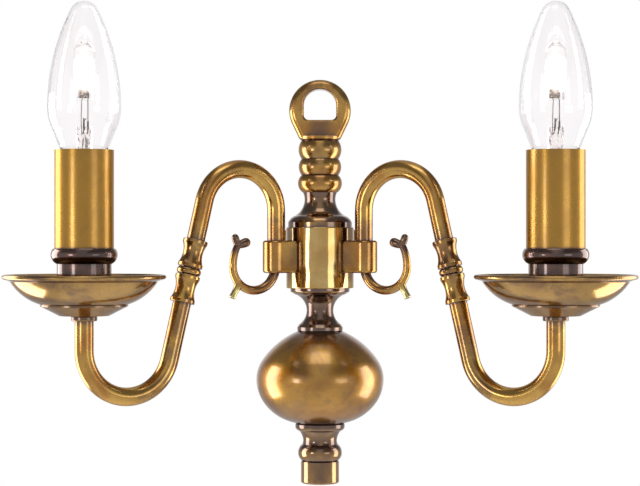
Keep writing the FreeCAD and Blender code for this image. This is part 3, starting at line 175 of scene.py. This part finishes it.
def make_stain():
    """Broad, ragged patches of brown."""
    tree, given, result = new_group("stain", [("Vector", "Vector", None)], [("Mask", "Float")])
    broad = noise(tree, given["Vector"], 42.0, 4.0, 0.6, 0.8)
    ragged = noise(tree, given["Vector"], 230.0, 3.0, 0.6)
    joined = math_node(tree, "MULTIPLY_ADD", ragged, 0.35, broad)
    wire(tree, spread(tree, joined, 0.62, 0.80, smooth=True), result["Mask"])
    return tree


def make_spot():
    """A soft-edged ball of space round a point, with an uneven edge."""
    tree, given, result = new_group(
        "spot", [("Vector", "Vector", None), ("Centre", "Vector", None), ("Radius", "Float", 0.01)],
        [("Mask", "Float")])
    away = tree.nodes.new("ShaderNodeVectorMath")
    away.operation = "DISTANCE"
    wire(tree, given["Vector"], away.inputs[0])
    wire(tree, given["Centre"], away.inputs[1])
    ragged = noise(tree, given["Vector"], 260.0, 3.0, 0.6)
    share = math_node(tree, "DIVIDE", away.outputs["Value"], given["Radius"])
    share = math_node(tree, "MULTIPLY_ADD", ragged, 0.5, share)
    wire(tree, spread(tree, share, 0.8, 1.4, 1.0, 0.0, smooth=True), result["Mask"])
    return tree


def make_turning_marks():
    """Fine rings that a lathe leaves round an axis, as height."""
    tree, given, result = new_group(
        "turning_marks",
        [("Vector", "Vector", None), ("Rings", "Float", 2600.0)],
        [("Height", "Float")])
    parts = tree.nodes.new("ShaderNodeSeparateXYZ")
    wire(tree, given["Vector"], parts.inputs[0])
    flat = math_node(tree, "SQRT", math_node(
        tree, "ADD", math_node(tree, "POWER", parts.outputs["X"], 2.0),
        math_node(tree, "POWER", parts.outputs["Y"], 2.0)))
    along = math_node(
        tree, "ADD", parts.outputs["Z"], math_node(tree, "MULTIPLY", flat, RINGS_ON_FLATS))
    joined = tree.nodes.new("ShaderNodeCombineXYZ")
    wire(tree, along, joined.inputs["X"])
    rings = noise(tree, joined.outputs[0], given["Rings"], 2.0, 0.7)
    wire(tree, rings, result["Height"])
    return tree


def make_polish_lines():
    """Hair-fine polishing lines in three directions, as height."""
    tree, given, result = new_group(
        "polish_lines",
        [("Vector", "Vector", None), ("Fineness", "Float", 1.0)],
        [("Height", "Float")])
    total = None
    for turn, scales in (((0.3, 0.2, 0.5), (2600.0, 90.0, 2600.0)),
                         ((1.1, -0.4, 1.9), (90.0, 3100.0, 3100.0)),
                         ((-0.7, 0.9, -1.2), (2300.0, 2300.0, 120.0))):
        place = stretched(tree, given["Vector"], scales, turn=turn)
        lines = noise(tree, place, given["Fineness"], 1.0)
        lines = spread(tree, lines, 0.55, 0.75)
        total = lines if total is None else math_node(tree, "ADD", total, lines)
    wire(tree, total, result["Height"])
    return tree


HOLLOW_DIRT = make_hollow_dirt()
MOTTLE = make_mottle()
STAIN = make_stain()
SPOT = make_spot()
TURNING_MARKS = make_turning_marks()
POLISH_LINES = make_polish_lines()


def use_group(tree, group, **inputs):
    """Place a node group in a tree with its own values."""
    node = tree.nodes.new("ShaderNodeGroup")
    node.node_tree = group
    for name, value in inputs.items():
        wire(tree, value, node.inputs[name.replace("_", " ").capitalize()])
    return node.outputs


def new_material(name, **sockets):
    """A material with a Principled BSDF whose plain values are set on its own sockets."""
    material = bpy.data.materials.new(name)
    material.use_nodes = True
    tree = material.node_tree
    shader = tree.nodes["Principled BSDF"]
    for label, value in sockets.items():
        shader.inputs[label.replace("_", " ")].default_value = value
    return material, tree, shader


def object_place(tree, axis=(0.0, 0.0)):
    """Object coordinates measured from an upright axis."""
    source = tree.nodes.new("ShaderNodeTexCoord").outputs["Object"]
    return stretched(tree, source, (1.0, 1.0, 1.0), place=(-axis[0], -axis[1], 0.0))


def add_bump(tree, shader, height, distance):
    """Relief from a height times a distance, in metres."""
    bump = tree.nodes.new("ShaderNodeBump")
    bump.inputs["Strength"].default_value = 1.0
    bump.inputs["Distance"].default_value = distance
    wire(tree, height, bump.inputs["Height"])
    wire(tree, bump.outputs["Normal"], shader.inputs["Normal"])


# ---------------------------------------------------------------- finishes

GOLD = (0.60, 0.345, 0.075, 1.0)
AMBER = (0.41, 0.185, 0.032, 1.0)
BROWN = (0.11, 0.062, 0.050, 1.0)
UMBER = (0.085, 0.05, 0.045, 1.0)
ARM_TURNS = {"left": math.radians(210), "right": math.radians(330)}


def arm_place(side):
    """A maker of coordinates in an arm's own plane: X outward from the column, Z up."""
    turn = ARM_TURNS[side]
    across = COLUMN[0] * math.cos(turn) + COLUMN[1] * math.sin(turn)
    along = -COLUMN[0] * math.sin(turn) + COLUMN[1] * math.cos(turn)

    def place(tree):
        source = tree.nodes.new("ShaderNodeTexCoord").outputs["Object"]
        return stretched(
            tree, source, (1.0, 1.0, 1.0), place=(-across, -along, 0.0), turn=(0.0, 0.0, -turn))
    return place


def axis_place(axis):
    """A maker of coordinates measured from an upright axis."""
    return lambda tree: object_place(tree, axis)


def aged_brass(name, place_of, bright=GOLD, dull=AMBER, dirt=BROWN, gloss=(0.15, 0.34),
               reach=0.008, depth=(0.93, 0.62), age=0.9, tarnish=0.45, wobble=0.00012, coat=0.6,
               film=0.05, edge=(0.5, 0.42, 0.38, 1), turned=True, spots_of_patina_and_painted_light=()):
    """Brass under old lacquer: golden where it is rubbed, amber in clouds, brown in hollows.

    gloss is the roughness of its cleanest and of its dullest places. Dirt gathers in a hollow
    within reach, between the two depths, with the strength age; tarnish is the strength of the
    open stains, and wobble the height of the metal's slow waves. coat and film are the
    lacquer's weight and roughness. Each spot has a centre, a radius, a colour and a strength;
    the spots give patina and also painted shade, painted highlights and painted reflections.
    """
    material, tree, shader = new_material(
        name, Metallic=1.0, Specular_Tint=edge,
        Coat_Weight=coat, Coat_Roughness=film, Coat_IOR=1.6)
    place = place_of(tree)
    tone = use_group(tree, MOTTLE, vector=place)
    hollow = use_group(
        tree, HOLLOW_DIRT, vector=place, reach=reach, open=depth[0], closed=depth[1])["Mask"]
    stain = use_group(tree, STAIN, vector=place)["Mask"]
    base = mix_colour(tree, tone["Clouds"], bright, dull)
    base = mix_colour(tree, math_node(tree, "MULTIPLY", tone["Specks"], SPECK_TONE), base, dull)
    base = mix_colour(tree, math_node(tree, "MULTIPLY", stain, tarnish), base, dirt)
    # each spot mixes its colour in round its centre: patina on a scroll's leaves, and painted
    # shade, painted reflection and a painted highlight on the other parts
    for centre, radius, colour, strength in spots_of_patina_and_painted_light:
        spot = use_group(tree, SPOT, vector=place, centre=centre, radius=radius)["Mask"]
        base = mix_colour(tree, math_node(tree, "MULTIPLY", spot, strength), base, colour)
    base = mix_colour(tree, math_node(tree, "MULTIPLY", hollow, age), base, dirt)
    wire(tree, base, shader.inputs["Base Color"])
    worn = math_node(tree, "MULTIPLY_ADD", tone["Clouds"], WORN_CLOUDS, math_node(
        tree, "MULTIPLY", tone["Specks"], WORN_SPECKS))
    worn = math_node(
        tree, "ADD", worn, math_node(tree, "MULTIPLY", hollow, WORN_HOLLOWS), clamp=True)
    wire(tree, spread(tree, worn, 0.0, 1.0, gloss[0], gloss[1]), shader.inputs["Roughness"])
    marks, height = (TURNING_MARKS, LATHE_HEIGHT) if turned else (POLISH_LINES, POLISH_HEIGHT)
    fine = math_node(tree, "MULTIPLY", use_group(tree, marks, vector=place)["Height"], height)
    wave = noise(tree, place, WAVE_SCALE, 1.0, 0.5, 0.3)
    add_bump(tree, shader, math_node(tree, "MULTIPLY_ADD", wave, wobble, fine), 1.0)
    return material


def steel(name, place_of, bright=(0.56, 0.56, 0.55, 1), dull=(0.40, 0.39, 0.37, 1)):
    """Zinc plated steel and other grey metal."""
    material, tree, shader = new_material(name, Metallic=1.0)
    tone = use_group(tree, MOTTLE, vector=place_of(tree), clouds=180.0, specks=1500.0)
    wire(tree, mix_colour(tree, tone["Clouds"], bright, dull), shader.inputs["Base Color"])
    wire(tree, spread(tree, tone["Specks"], 0.0, 1.0, 0.28, 0.5), shader.inputs["Roughness"])
    return material


def moulding(name, colour, rough):
    """A moulded insulating body."""
    material, tree, shader = new_material(name)
    tone = use_group(tree, MOTTLE, vector=object_place(tree), clouds=120.0, specks=700.0)
    darker = tuple(part * 0.8 for part in colour[:3]) + (1.0,)
    wire(tree, mix_colour(tree, tone["Clouds"], colour, darker), shader.inputs["Base Color"])
    wire(tree, spread(tree, tone["Specks"], 0.0, 1.0, rough, rough + 0.15),
         shader.inputs["Roughness"])
    add_bump(tree, shader, tone["Specks"], 0.00002)
    return material


def clear_glass(name, body, painted_outline_shade, power=5.0, ripple=0.00004):
    """Clear blown glass whose colour darkens toward its outline: painted shade for the glass's dark
    edge.
    """
    material, tree, shader = new_material(
        name, Metallic=0.0, Transmission_Weight=1.0, IOR=1.46)
    place = object_place(tree)
    waves = noise(tree, place, 60.0, 1.0)
    wire(tree, spread(tree, waves, 0.0, 1.0, 0.0, 0.02), shader.inputs["Roughness"])
    add_bump(tree, shader, waves, ripple)
    # painted shade: the base colour goes toward the outline colour as the surface turns away from
    # the view
    view = tree.nodes.new("ShaderNodeLayerWeight")
    view.inputs["Blend"].default_value = 0.5
    painted_outline_share = math_node(tree, "POWER", view.outputs["Facing"], power)
    wire(tree, mix_colour(tree, painted_outline_share, body, painted_outline_shade), shader.inputs["Base Color"])
    return material, tree, shader


def glowing(name, colour, strength):
    """The white-hot coil."""
    material, tree, shader = new_material(
        name, Base_Color=(0.9, 0.85, 0.7, 1), Roughness=0.4, Emission_Strength=strength)
    grain = noise(tree, object_place(tree), 900.0, 1.0)
    wire(tree, mix_colour(tree, grain, colour, (1.0, 0.98, 0.92, 1)),
         shader.inputs["Emission Color"])
    return material


def dress(names, material):
    """Give CAD nodes one material."""
    for name in names:
        mesh = NODES[name].data
        mesh.materials.clear()
        mesh.materials.append(material)


EYE_FOOT = 0.0235       # the foot of the ring's eye, below its top

on_column = axis_place(COLUMN)
eye_foot_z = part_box("ring_finial")[1].z - EYE_FOOT
low_ball, high_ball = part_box("ball")
# painted reflection: the brown spot at the foot of the ring's eye stands for the dark room mirrored
# in the ring's lower face
dress(["ring_finial"], aged_brass(
    "ring_brass", on_column, gloss=(0.18, 0.34), tarnish=0.45, turned=False,
    spots_of_patina_and_painted_light=[((0.0, 0.0, eye_foot_z), 0.009, BROWN, 0.6)]))
dress(["bell_cap", "hub_neck", "finial"], aged_brass(
    "column_brass", on_column, bright=(0.46, 0.25, 0.06, 1), dull=(0.22, 0.11, 0.042, 1),
    gloss=(0.12, 0.24), reach=0.016, depth=(0.98, 0.88), age=0.97, coat=1.0))
dress(["hub_drum"], aged_brass(
    "drum_brass", on_column, bright=(0.66, 0.45, 0.17, 1), dull=(0.55, 0.33, 0.09, 1),
    gloss=(0.07, 0.12), age=0.7, tarnish=0.12, wobble=0.0003))
dress(["ball"], aged_brass(
    "ball_brass", on_column, bright=(0.52, 0.265, 0.034, 1), dull=(0.36, 0.16, 0.02, 1),
    dirt=UMBER, gloss=(0.28, 0.44), tarnish=0.3, wobble=0.00003, coat=1.0, film=0.13,
    edge=(0.42, 0.36, 0.38, 1), spots_of_patina_and_painted_light=[
        # painted reflection: brown spots round the top and the bottom of the ball stand for the dim
        # room mirrored above and below
        ((0.0, 0.0, high_ball.z), 0.024, BROWN, 0.7),
        ((0.0, 0.0, low_ball.z), 0.023, BROWN, 0.75)]))
dress(["wall_plate", "wall_stem"], aged_brass(
    "plate_brass", axis_place((0.0, 0.0)), gloss=(0.2, 0.4)))
dress(["tie_rod", "hub_nuts", "stem_nut", "left_block_nut", "right_block_nut"],
      steel("zinc_steel", on_column))
dress(["terminal_block"], moulding("connector_body", (0.72, 0.70, 0.64, 1), 0.4))

glass = clear_glass("bulb_glass", (0.99, 0.975, 0.98, 1), (0.03, 0.03, 0.035, 1), 5.0)[0]
stem_glass, tree, shader = clear_glass(
    "stem_glass", (0.97, 0.93, 0.91, 1), (0.12, 0.1, 0.1, 1), 1.6, 0.0004)
streaks = noise(
    tree, stretched(tree, object_place(tree), (420.0, 420.0, 150.0)), 1.0, 3.0, 0.65, 1.2)
streaks = spread(tree, streaks, 0.54, 0.62)
clear = shader.inputs["Base Color"].links[0].from_socket
wire(tree, mix_colour(tree, streaks, clear, (0.10, 0.08, 0.08, 1)), shader.inputs["Base Color"])
for side in SIDES:
    candle = CANDLES[side]
    on_candle = axis_place(candle)
    in_arm = arm_place(side)
    low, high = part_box(side + "_scroll")
    cast = aged_brass(side + "_cast_brass", in_arm, turned=False, tarnish=0.5)
    scroll = aged_brass(side + "_scroll_brass", in_arm, turned=False, tarnish=0.35, spots_of_patina_and_painted_light=[
        # the first spot is brown patina on the leaves; the second, pale yellow at the thorn's tip,
        # is a painted highlight
        ((0.0475, 0.0, high.z - 0.003), 0.0075, BROWN, 0.85),
        ((0.0500, 0.0, low.z + 0.001), 0.0062, (0.72, 0.62, 0.25, 1), 0.9)])
    # painted shade: the brown spot at the block's end against the drum stands for shade and dark
    # reflection on the flat face there
    block = aged_brass(side + "_block_brass", in_arm, turned=False, tarnish=0.2, wobble=0.00005,
                       gloss=(0.16, 0.28), spots_of_patina_and_painted_light=[((0.0172, 0.0, 0.0), 0.0088, BROWN, 0.5)])
    spun = aged_brass(
        side + "_spun_brass", on_candle, bright=(0.48, 0.28, 0.075, 1),
        dull=(0.27, 0.15, 0.055, 1), gloss=(0.16, 0.34), tarnish=0.6)
    dark = aged_brass(
        side + "_dark_brass", on_candle, bright=(0.17, 0.08, 0.055, 1),
        dull=(0.09, 0.045, 0.036, 1), dirt=(0.03, 0.018, 0.016, 1), gloss=(0.2, 0.4), coat=1.0)
    sleeve = aged_brass(
        side + "_sleeve_brass", on_candle, bright=(0.46, 0.245, 0.042, 1),
        dull=(0.43, 0.225, 0.04, 1), gloss=(0.26, 0.42), tarnish=0.15, wobble=0.00002, coat=0.3)
    dress([side + "_" + name for name in (
        "arm_tube", "upper_spool", "lower_spool", "knuckle_ring")], cast)
    dress([side + "_arm_block"], block)
    dress([side + "_scroll"], scroll)
    dress([side + "_drip_pan", side + "_pan_collar"], spun)
    dress([side + "_candle_cup"], dark)
    dress([side + "_candle_tube"], sleeve)
    dress([side + "_arm_nipple"], steel(side + "_nipple_steel", on_candle))
    dress([side + "_lampholder_body"], moulding(
        side + "_holder_body", (0.03, 0.03, 0.032, 1), 0.3))
    dress([side + "_screw_shell", side + "_centre_contact"], steel(
        side + "_shell_metal", on_candle, (0.62, 0.5, 0.3, 1), (0.5, 0.38, 0.2, 1)))
    dress([side + "_arm_lead"], moulding(side + "_lead_cover", (0.70, 0.69, 0.66, 1), 0.4))
    dress([side + "_lamp_contact"], moulding(
        side + "_lamp_insulator", (0.02, 0.02, 0.025, 1), 0.15))
    dress([side + "_lamp_cap"], steel(
        side + "_cap_metal", on_candle, (0.7, 0.7, 0.69, 1), (0.6, 0.6, 0.59, 1)))
    dress([side + "_lamp_glass"], glass)
    dress([side + "_lamp_stem"], stem_glass)
    capsule_glass, tree, shader = clear_glass(
        side + "_capsule_glass", (1, 0.99, 0.98, 1), (0.16, 0.13, 0.12, 1), 3.5)
    low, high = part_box(side + "_lamp_capsule")
    # painted glow: the capsule glass shines white round the middle of the coil, standing in for the
    # lit lamp's glare
    glow = use_group(tree, SPOT, vector=object_place(tree, candle), radius=0.0088,
                     centre=(0.0, 0.0, (low.z + high.z) / 2 - 0.002))["Mask"]
    wire(tree, mix_colour(tree, glow, (0, 0, 0, 1), (1.0, 0.98, 0.95, 1)),
         shader.inputs["Emission Color"])
    shader.inputs["Emission Strength"].default_value = 0.9
    dress([side + "_lamp_capsule"], capsule_glass)
    dress([side + "_lamp_wires"], steel(
        side + "_lamp_wire", on_candle, (0.3, 0.26, 0.24, 1), (0.2, 0.16, 0.14, 1)))


# ---------------------------------------------------------------- the inside of a lamp

def start_piece(name):
    """Name the new primitive and put its place into its mesh."""
    piece = bpy.context.active_object
    piece.name = name
    bpy.ops.object.transform_apply(location=True, rotation=True, scale=True)
    return piece


def finish_piece(piece, material, body, stands_for=()):
    """Close a piece: outward faces, smooth shading, its material and what it rides on."""
    bpy.ops.object.select_all(action="DESELECT")
    piece.select_set(True)
    bpy.context.view_layer.objects.active = piece
    bpy.ops.object.mode_set(mode="EDIT")
    bpy.ops.mesh.select_all(action="SELECT")
    bpy.ops.mesh.remove_doubles(threshold=WELD)
    bpy.ops.mesh.normals_make_consistent(inside=False)
    bpy.ops.object.mode_set(mode="OBJECT")
    bpy.ops.object.shade_smooth_by_angle(angle=SMOOTH_ANGLE)
    piece.data.materials.clear()
    piece.data.materials.append(material)
    if stands_for:
        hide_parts(*stands_for)
    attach(piece, body)
    piece.select_set(False)


def draw_wire(name, axis, stops):
    """A round wire, extruded from stop to stop: x, y, z and the wire's radius there, all in mm."""
    places = [Vector((axis[0] + x / 1000, axis[1] + y / 1000, z / 1000)) for x, y, z, _ in stops]
    sizes = [stop[3] / 1000 for stop in stops]
    bpy.ops.object.select_all(action="DESELECT")
    bpy.ops.mesh.primitive_circle_add(
        vertices=10, radius=sizes[0], fill_type="NGON", location=places[0])
    piece = start_piece(name)
    bpy.ops.object.mode_set(mode="EDIT")
    bpy.ops.mesh.select_all(action="SELECT")
    for index in range(1, len(stops)):
        bpy.ops.mesh.extrude_region_move(
            TRANSFORM_OT_translate={"value": places[index] - places[index - 1]})
        swell = sizes[index] / sizes[index - 1]
        bpy.ops.transform.resize(value=(swell, swell, 1.0), center_override=places[index])
    bpy.ops.object.mode_set(mode="OBJECT")
    return piece


def join_pieces(pieces):
    """Make one piece of several, under the first one's name."""
    bpy.ops.object.select_all(action="DESELECT")
    for piece in pieces:
        piece.select_set(True)
    bpy.context.view_layer.objects.active = pieces[0]
    bpy.ops.object.join()
    return pieces[0]


def make_wires(side, material):
    """The two leads of a lamp in their sleeves; the one in the middle ends in a fork."""
    axis = CANDLES[side]
    outer = draw_wire(side + "_wires", axis, [
        (1.3, 0.0, 58.5, 0.32), (1.7, 0.0, 60.3, 0.34), (1.72, 0.0, 60.5, 0.52),
        (1.75, 0.0, 64.8, 0.46), (1.75, 0.0, 65.0, 0.24), (1.78, 0.0, 75.6, 0.24),
        (1.8, 0.0, 75.8, 0.5), (1.8, 0.0, 78.2, 0.5), (1.7, 0.0, 78.5, 0.2)])
    middle = draw_wire(side + "_middle_wire", axis, [
        (-0.9, 0.1, 58.5, 0.3), (-0.35, 0.1, 60.6, 0.34), (-0.3, 0.1, 60.8, 0.5),
        (-0.2, 0.1, 64.0, 0.46), (-0.3, 0.1, 66.2, 0.3)])
    fork = draw_wire(side + "_fork", axis, [
        (-0.2, 0.1, 64.2, 0.34), (0.25, 0.1, 65.3, 0.3), (0.75, 0.1, 65.9, 0.26),
        (1.0, 0.1, 66.1, 0.18)])
    support = draw_wire(side + "_support_wire", axis, [
        (-1.5, 0.1, 58.0, 0.22), (-1.45, 0.1, 66.0, 0.2), (-1.2, 0.0, 74.6, 0.2),
        (-1.2, 0.0, 77.5, 0.2)])
    wires = join_pieces([outer, middle, fork, support])
    finish_piece(wires, material, side + "_lamp", [side + "_lamp_wires"])


def make_filament(side, material):
    """The glowing coil in the capsule."""
    turns, steps, pitch = 11, 16, 0.00068
    coil_radius, wire_radius, low_end = 0.00105, 0.0002, 0.0848
    bpy.ops.object.select_all(action="DESELECT")
    bpy.ops.mesh.primitive_circle_add(
        vertices=6, radius=wire_radius, location=(coil_radius, 0.0, 0.0),
        rotation=(math.radians(90), 0.0, 0.0))
    coil = start_piece(side + "_filament")
    bpy.context.scene.cursor.location = (0.0, 0.0, 0.0)
    bpy.ops.object.origin_set(type="ORIGIN_CURSOR")
    screw = coil.modifiers.new("coil", "SCREW")
    screw.axis = "Z"
    screw.screw_offset = pitch
    screw.iterations = turns
    screw.steps = screw.render_steps = steps
    bpy.ops.object.modifier_apply(modifier="coil")
    coil.location = (CANDLES[side][0], CANDLES[side][1], low_end)
    bpy.ops.object.transform_apply(location=True, rotation=True, scale=True)
    bpy.ops.object.mode_set(mode="EDIT")
    bpy.ops.mesh.select_mode(type="EDGE")
    bpy.ops.mesh.select_all(action="DESELECT")
    bpy.ops.mesh.select_non_manifold(extend=False, use_boundary=True)
    bpy.ops.mesh.edge_face_add()
    bpy.ops.mesh.select_mode(type="VERT")
    bpy.ops.object.mode_set(mode="OBJECT")
    finish_piece(coil, material, side + "_lamp")


def make_pinch_foils(side, material):
    """The crimped foils in the capsule's flat foot."""
    aside, height = -0.0006, 0.0777
    width, thickness, tall = 0.0050, 0.0012, 0.0044
    axis = CANDLES[side]
    bpy.ops.object.select_all(action="DESELECT")
    bpy.ops.mesh.primitive_cube_add(
        size=1.0, location=(axis[0] + aside, axis[1], height), scale=(width, thickness, tall))
    foils = start_piece(side + "_pinch_foils")
    bpy.ops.object.mode_set(mode="EDIT")
    bpy.ops.mesh.select_all(action="SELECT")
    bpy.ops.mesh.bevel(offset=0.0004, segments=3, affect="EDGES")
    bpy.ops.mesh.select_all(action="DESELECT")
    bpy.ops.object.mode_set(mode="OBJECT")
    for face in foils.data.polygons:
        face.select = abs(face.normal.y) > 0.99
    bpy.ops.object.mode_set(mode="EDIT")
    bpy.ops.mesh.inset(thickness=0.0005, depth=-0.0002)
    bpy.ops.mesh.inset(thickness=0.0005, depth=0.0003)
    bpy.ops.object.mode_set(mode="OBJECT")
    finish_piece(foils, material, side + "_lamp")


def scorched(name):
    """Foils and crimped glass, brown from the heat."""
    material, tree, shader = new_material(name, Metallic=0.3)
    grain = noise(tree, object_place(tree), 1300.0, 3.0, 0.65)
    tint = mix_colour(
        tree, spread(tree, grain, 0.4, 0.6), (0.16, 0.10, 0.07, 1), (0.72, 0.62, 0.55, 1))
    wire(tree, tint, shader.inputs["Base Color"])
    wire(tree, spread(tree, grain, 0.0, 1.0, 0.3, 0.6), shader.inputs["Roughness"])
    return material


filament_glow = glowing("filament_glow", (1.0, 0.9, 0.7, 1), 6.0)
foil_brown = scorched("foil_brown")
lead_metal = steel("lamp_lead", on_column, (0.20, 0.16, 0.15, 1), (0.10, 0.075, 0.07, 1))
for side in SIDES:
    make_wires(side, lead_metal)
    make_filament(side, filament_glow)
    make_pinch_foils(side, foil_brown)


# ---------------------------------------------------------------- camera, light, surroundings

EYE_HEIGHT = 0.00685
EYE_DISTANCE = 1.037
FOCAL_PIXELS = 1972.0
FRAME_PIXELS = 640.0
SENSOR = 36.0
PLAIN_LEVEL = 0.7           # the surroundings' light on everything that isn't polished
ROOM = (0.2, 0.62)          # what polished metal sees of the room, at its darkest and brightest
FLOOR_SIZE = 3.0
FLOOR_HEIGHT = -0.32
SOFTBOXES = {               # place, size and brightness
    "left_strip": ((-0.262, -0.02, -0.06), (0.13, 0.32), 5.0),
    "right_strip": ((0.262, -0.02, -0.06), (0.13, 0.32), 3.4),
    "front_window": ((-0.62, -0.72, 0.0), (0.17, 0.16), 6.0),
    "front_fill": ((0.58, -0.76, 0.0), (0.36, 0.2), 1.6),
    "top_softbox": ((0.0, -0.3, 0.95), (0.5, 0.4), 1.5),
}


def make_camera():
    """A long lens at the height of the arm sockets, square to the wall."""
    lens = bpy.data.cameras.new("camera")
    lens.sensor_width = SENSOR
    lens.lens = SENSOR * FOCAL_PIXELS / FRAME_PIXELS
    camera = bpy.data.objects.new("camera", lens)
    camera.location = (0.0, -EYE_DISTANCE, EYE_HEIGHT)
    camera.rotation_euler = (math.radians(90), 0.0, 0.0)
    bpy.context.scene.collection.objects.link(camera)
    bpy.context.scene.camera = camera


def add_softbox(name, place, size, radiance):
    """A white soft light that faces the column, as bright in a mirror as its radiance says."""
    place = Vector(place)
    light = bpy.data.lights.new(name, "AREA")
    light.shape = "RECTANGLE"
    light.size, light.size_y = size
    light.energy = radiance * math.pi * size[0] * size[1]
    box = bpy.data.objects.new(name, light)
    box.location = place
    aim = Vector((COLUMN[0], COLUMN[1], place.z * 0.7)) - place
    box.rotation_euler = aim.to_track_quat("-Z", "Y").to_euler()
    box.visible_camera = False
    bpy.context.scene.collection.objects.link(box)


def make_world():
    """White to the camera and through glass; to polished metal a dim room, light at its back."""
    world = bpy.data.worlds.new("studio")
    bpy.context.scene.world = world
    world.use_nodes = True
    tree = world.node_tree
    parts = tree.nodes.new("ShaderNodeSeparateXYZ")
    wire(tree, tree.nodes.new("ShaderNodeTexCoord").outputs["Generated"], parts.inputs[0])
    aside = math_node(tree, "ABSOLUTE", parts.outputs["X"])
    level = math_node(tree, "ABSOLUTE", parts.outputs["Z"])
    middle = spread(tree, aside, 0.16, 0.42, 1.0, 0.0, smooth=True)
    horizon = spread(tree, level, 0.12, 0.5, 1.0, 0.0, smooth=True)
    room = spread(tree, math_node(tree, "MAXIMUM", middle, horizon), 0.0, 1.0, *ROOM)
    behind = spread(tree, parts.outputs["Y"], 0.6, 0.95, smooth=True)
    room = math_node(tree, "MAXIMUM", room, behind)
    path = tree.nodes.new("ShaderNodeLightPath").outputs
    direct = math_node(tree, "MAXIMUM", path["Is Camera Ray"], path["Is Transmission Ray"])
    seen = math_node(tree, "MULTIPLY_ADD", path["Is Glossy Ray"],
                     math_node(tree, "SUBTRACT", room, PLAIN_LEVEL), PLAIN_LEVEL)
    background = tree.nodes["Background"].inputs
    wire(tree, math_node(tree, "MAXIMUM", seen, direct), background["Strength"])
    background["Color"].default_value = (1.0, 1.0, 1.0, 1.0)


def make_floor():
    """The pale floor well below the light, where it stays out of the straight view."""
    bpy.ops.mesh.primitive_plane_add(size=FLOOR_SIZE, location=(0.0, 0.0, FLOOR_HEIGHT))
    floor = bpy.context.active_object
    floor.name = "floor"
    bpy.ops.object.transform_apply(location=True, rotation=True, scale=True)
    floor.data.materials.append(new_material(
        "pale_floor", Base_Color=(0.86, 0.86, 0.86, 1), Roughness=0.8)[0])


make_camera()
make_world()
make_floor()
for name, (place, size, radiance) in SOFTBOXES.items():
    add_softbox(name, place, size, radiance)
bpy.context.scene.view_settings.view_transform = "Standard"
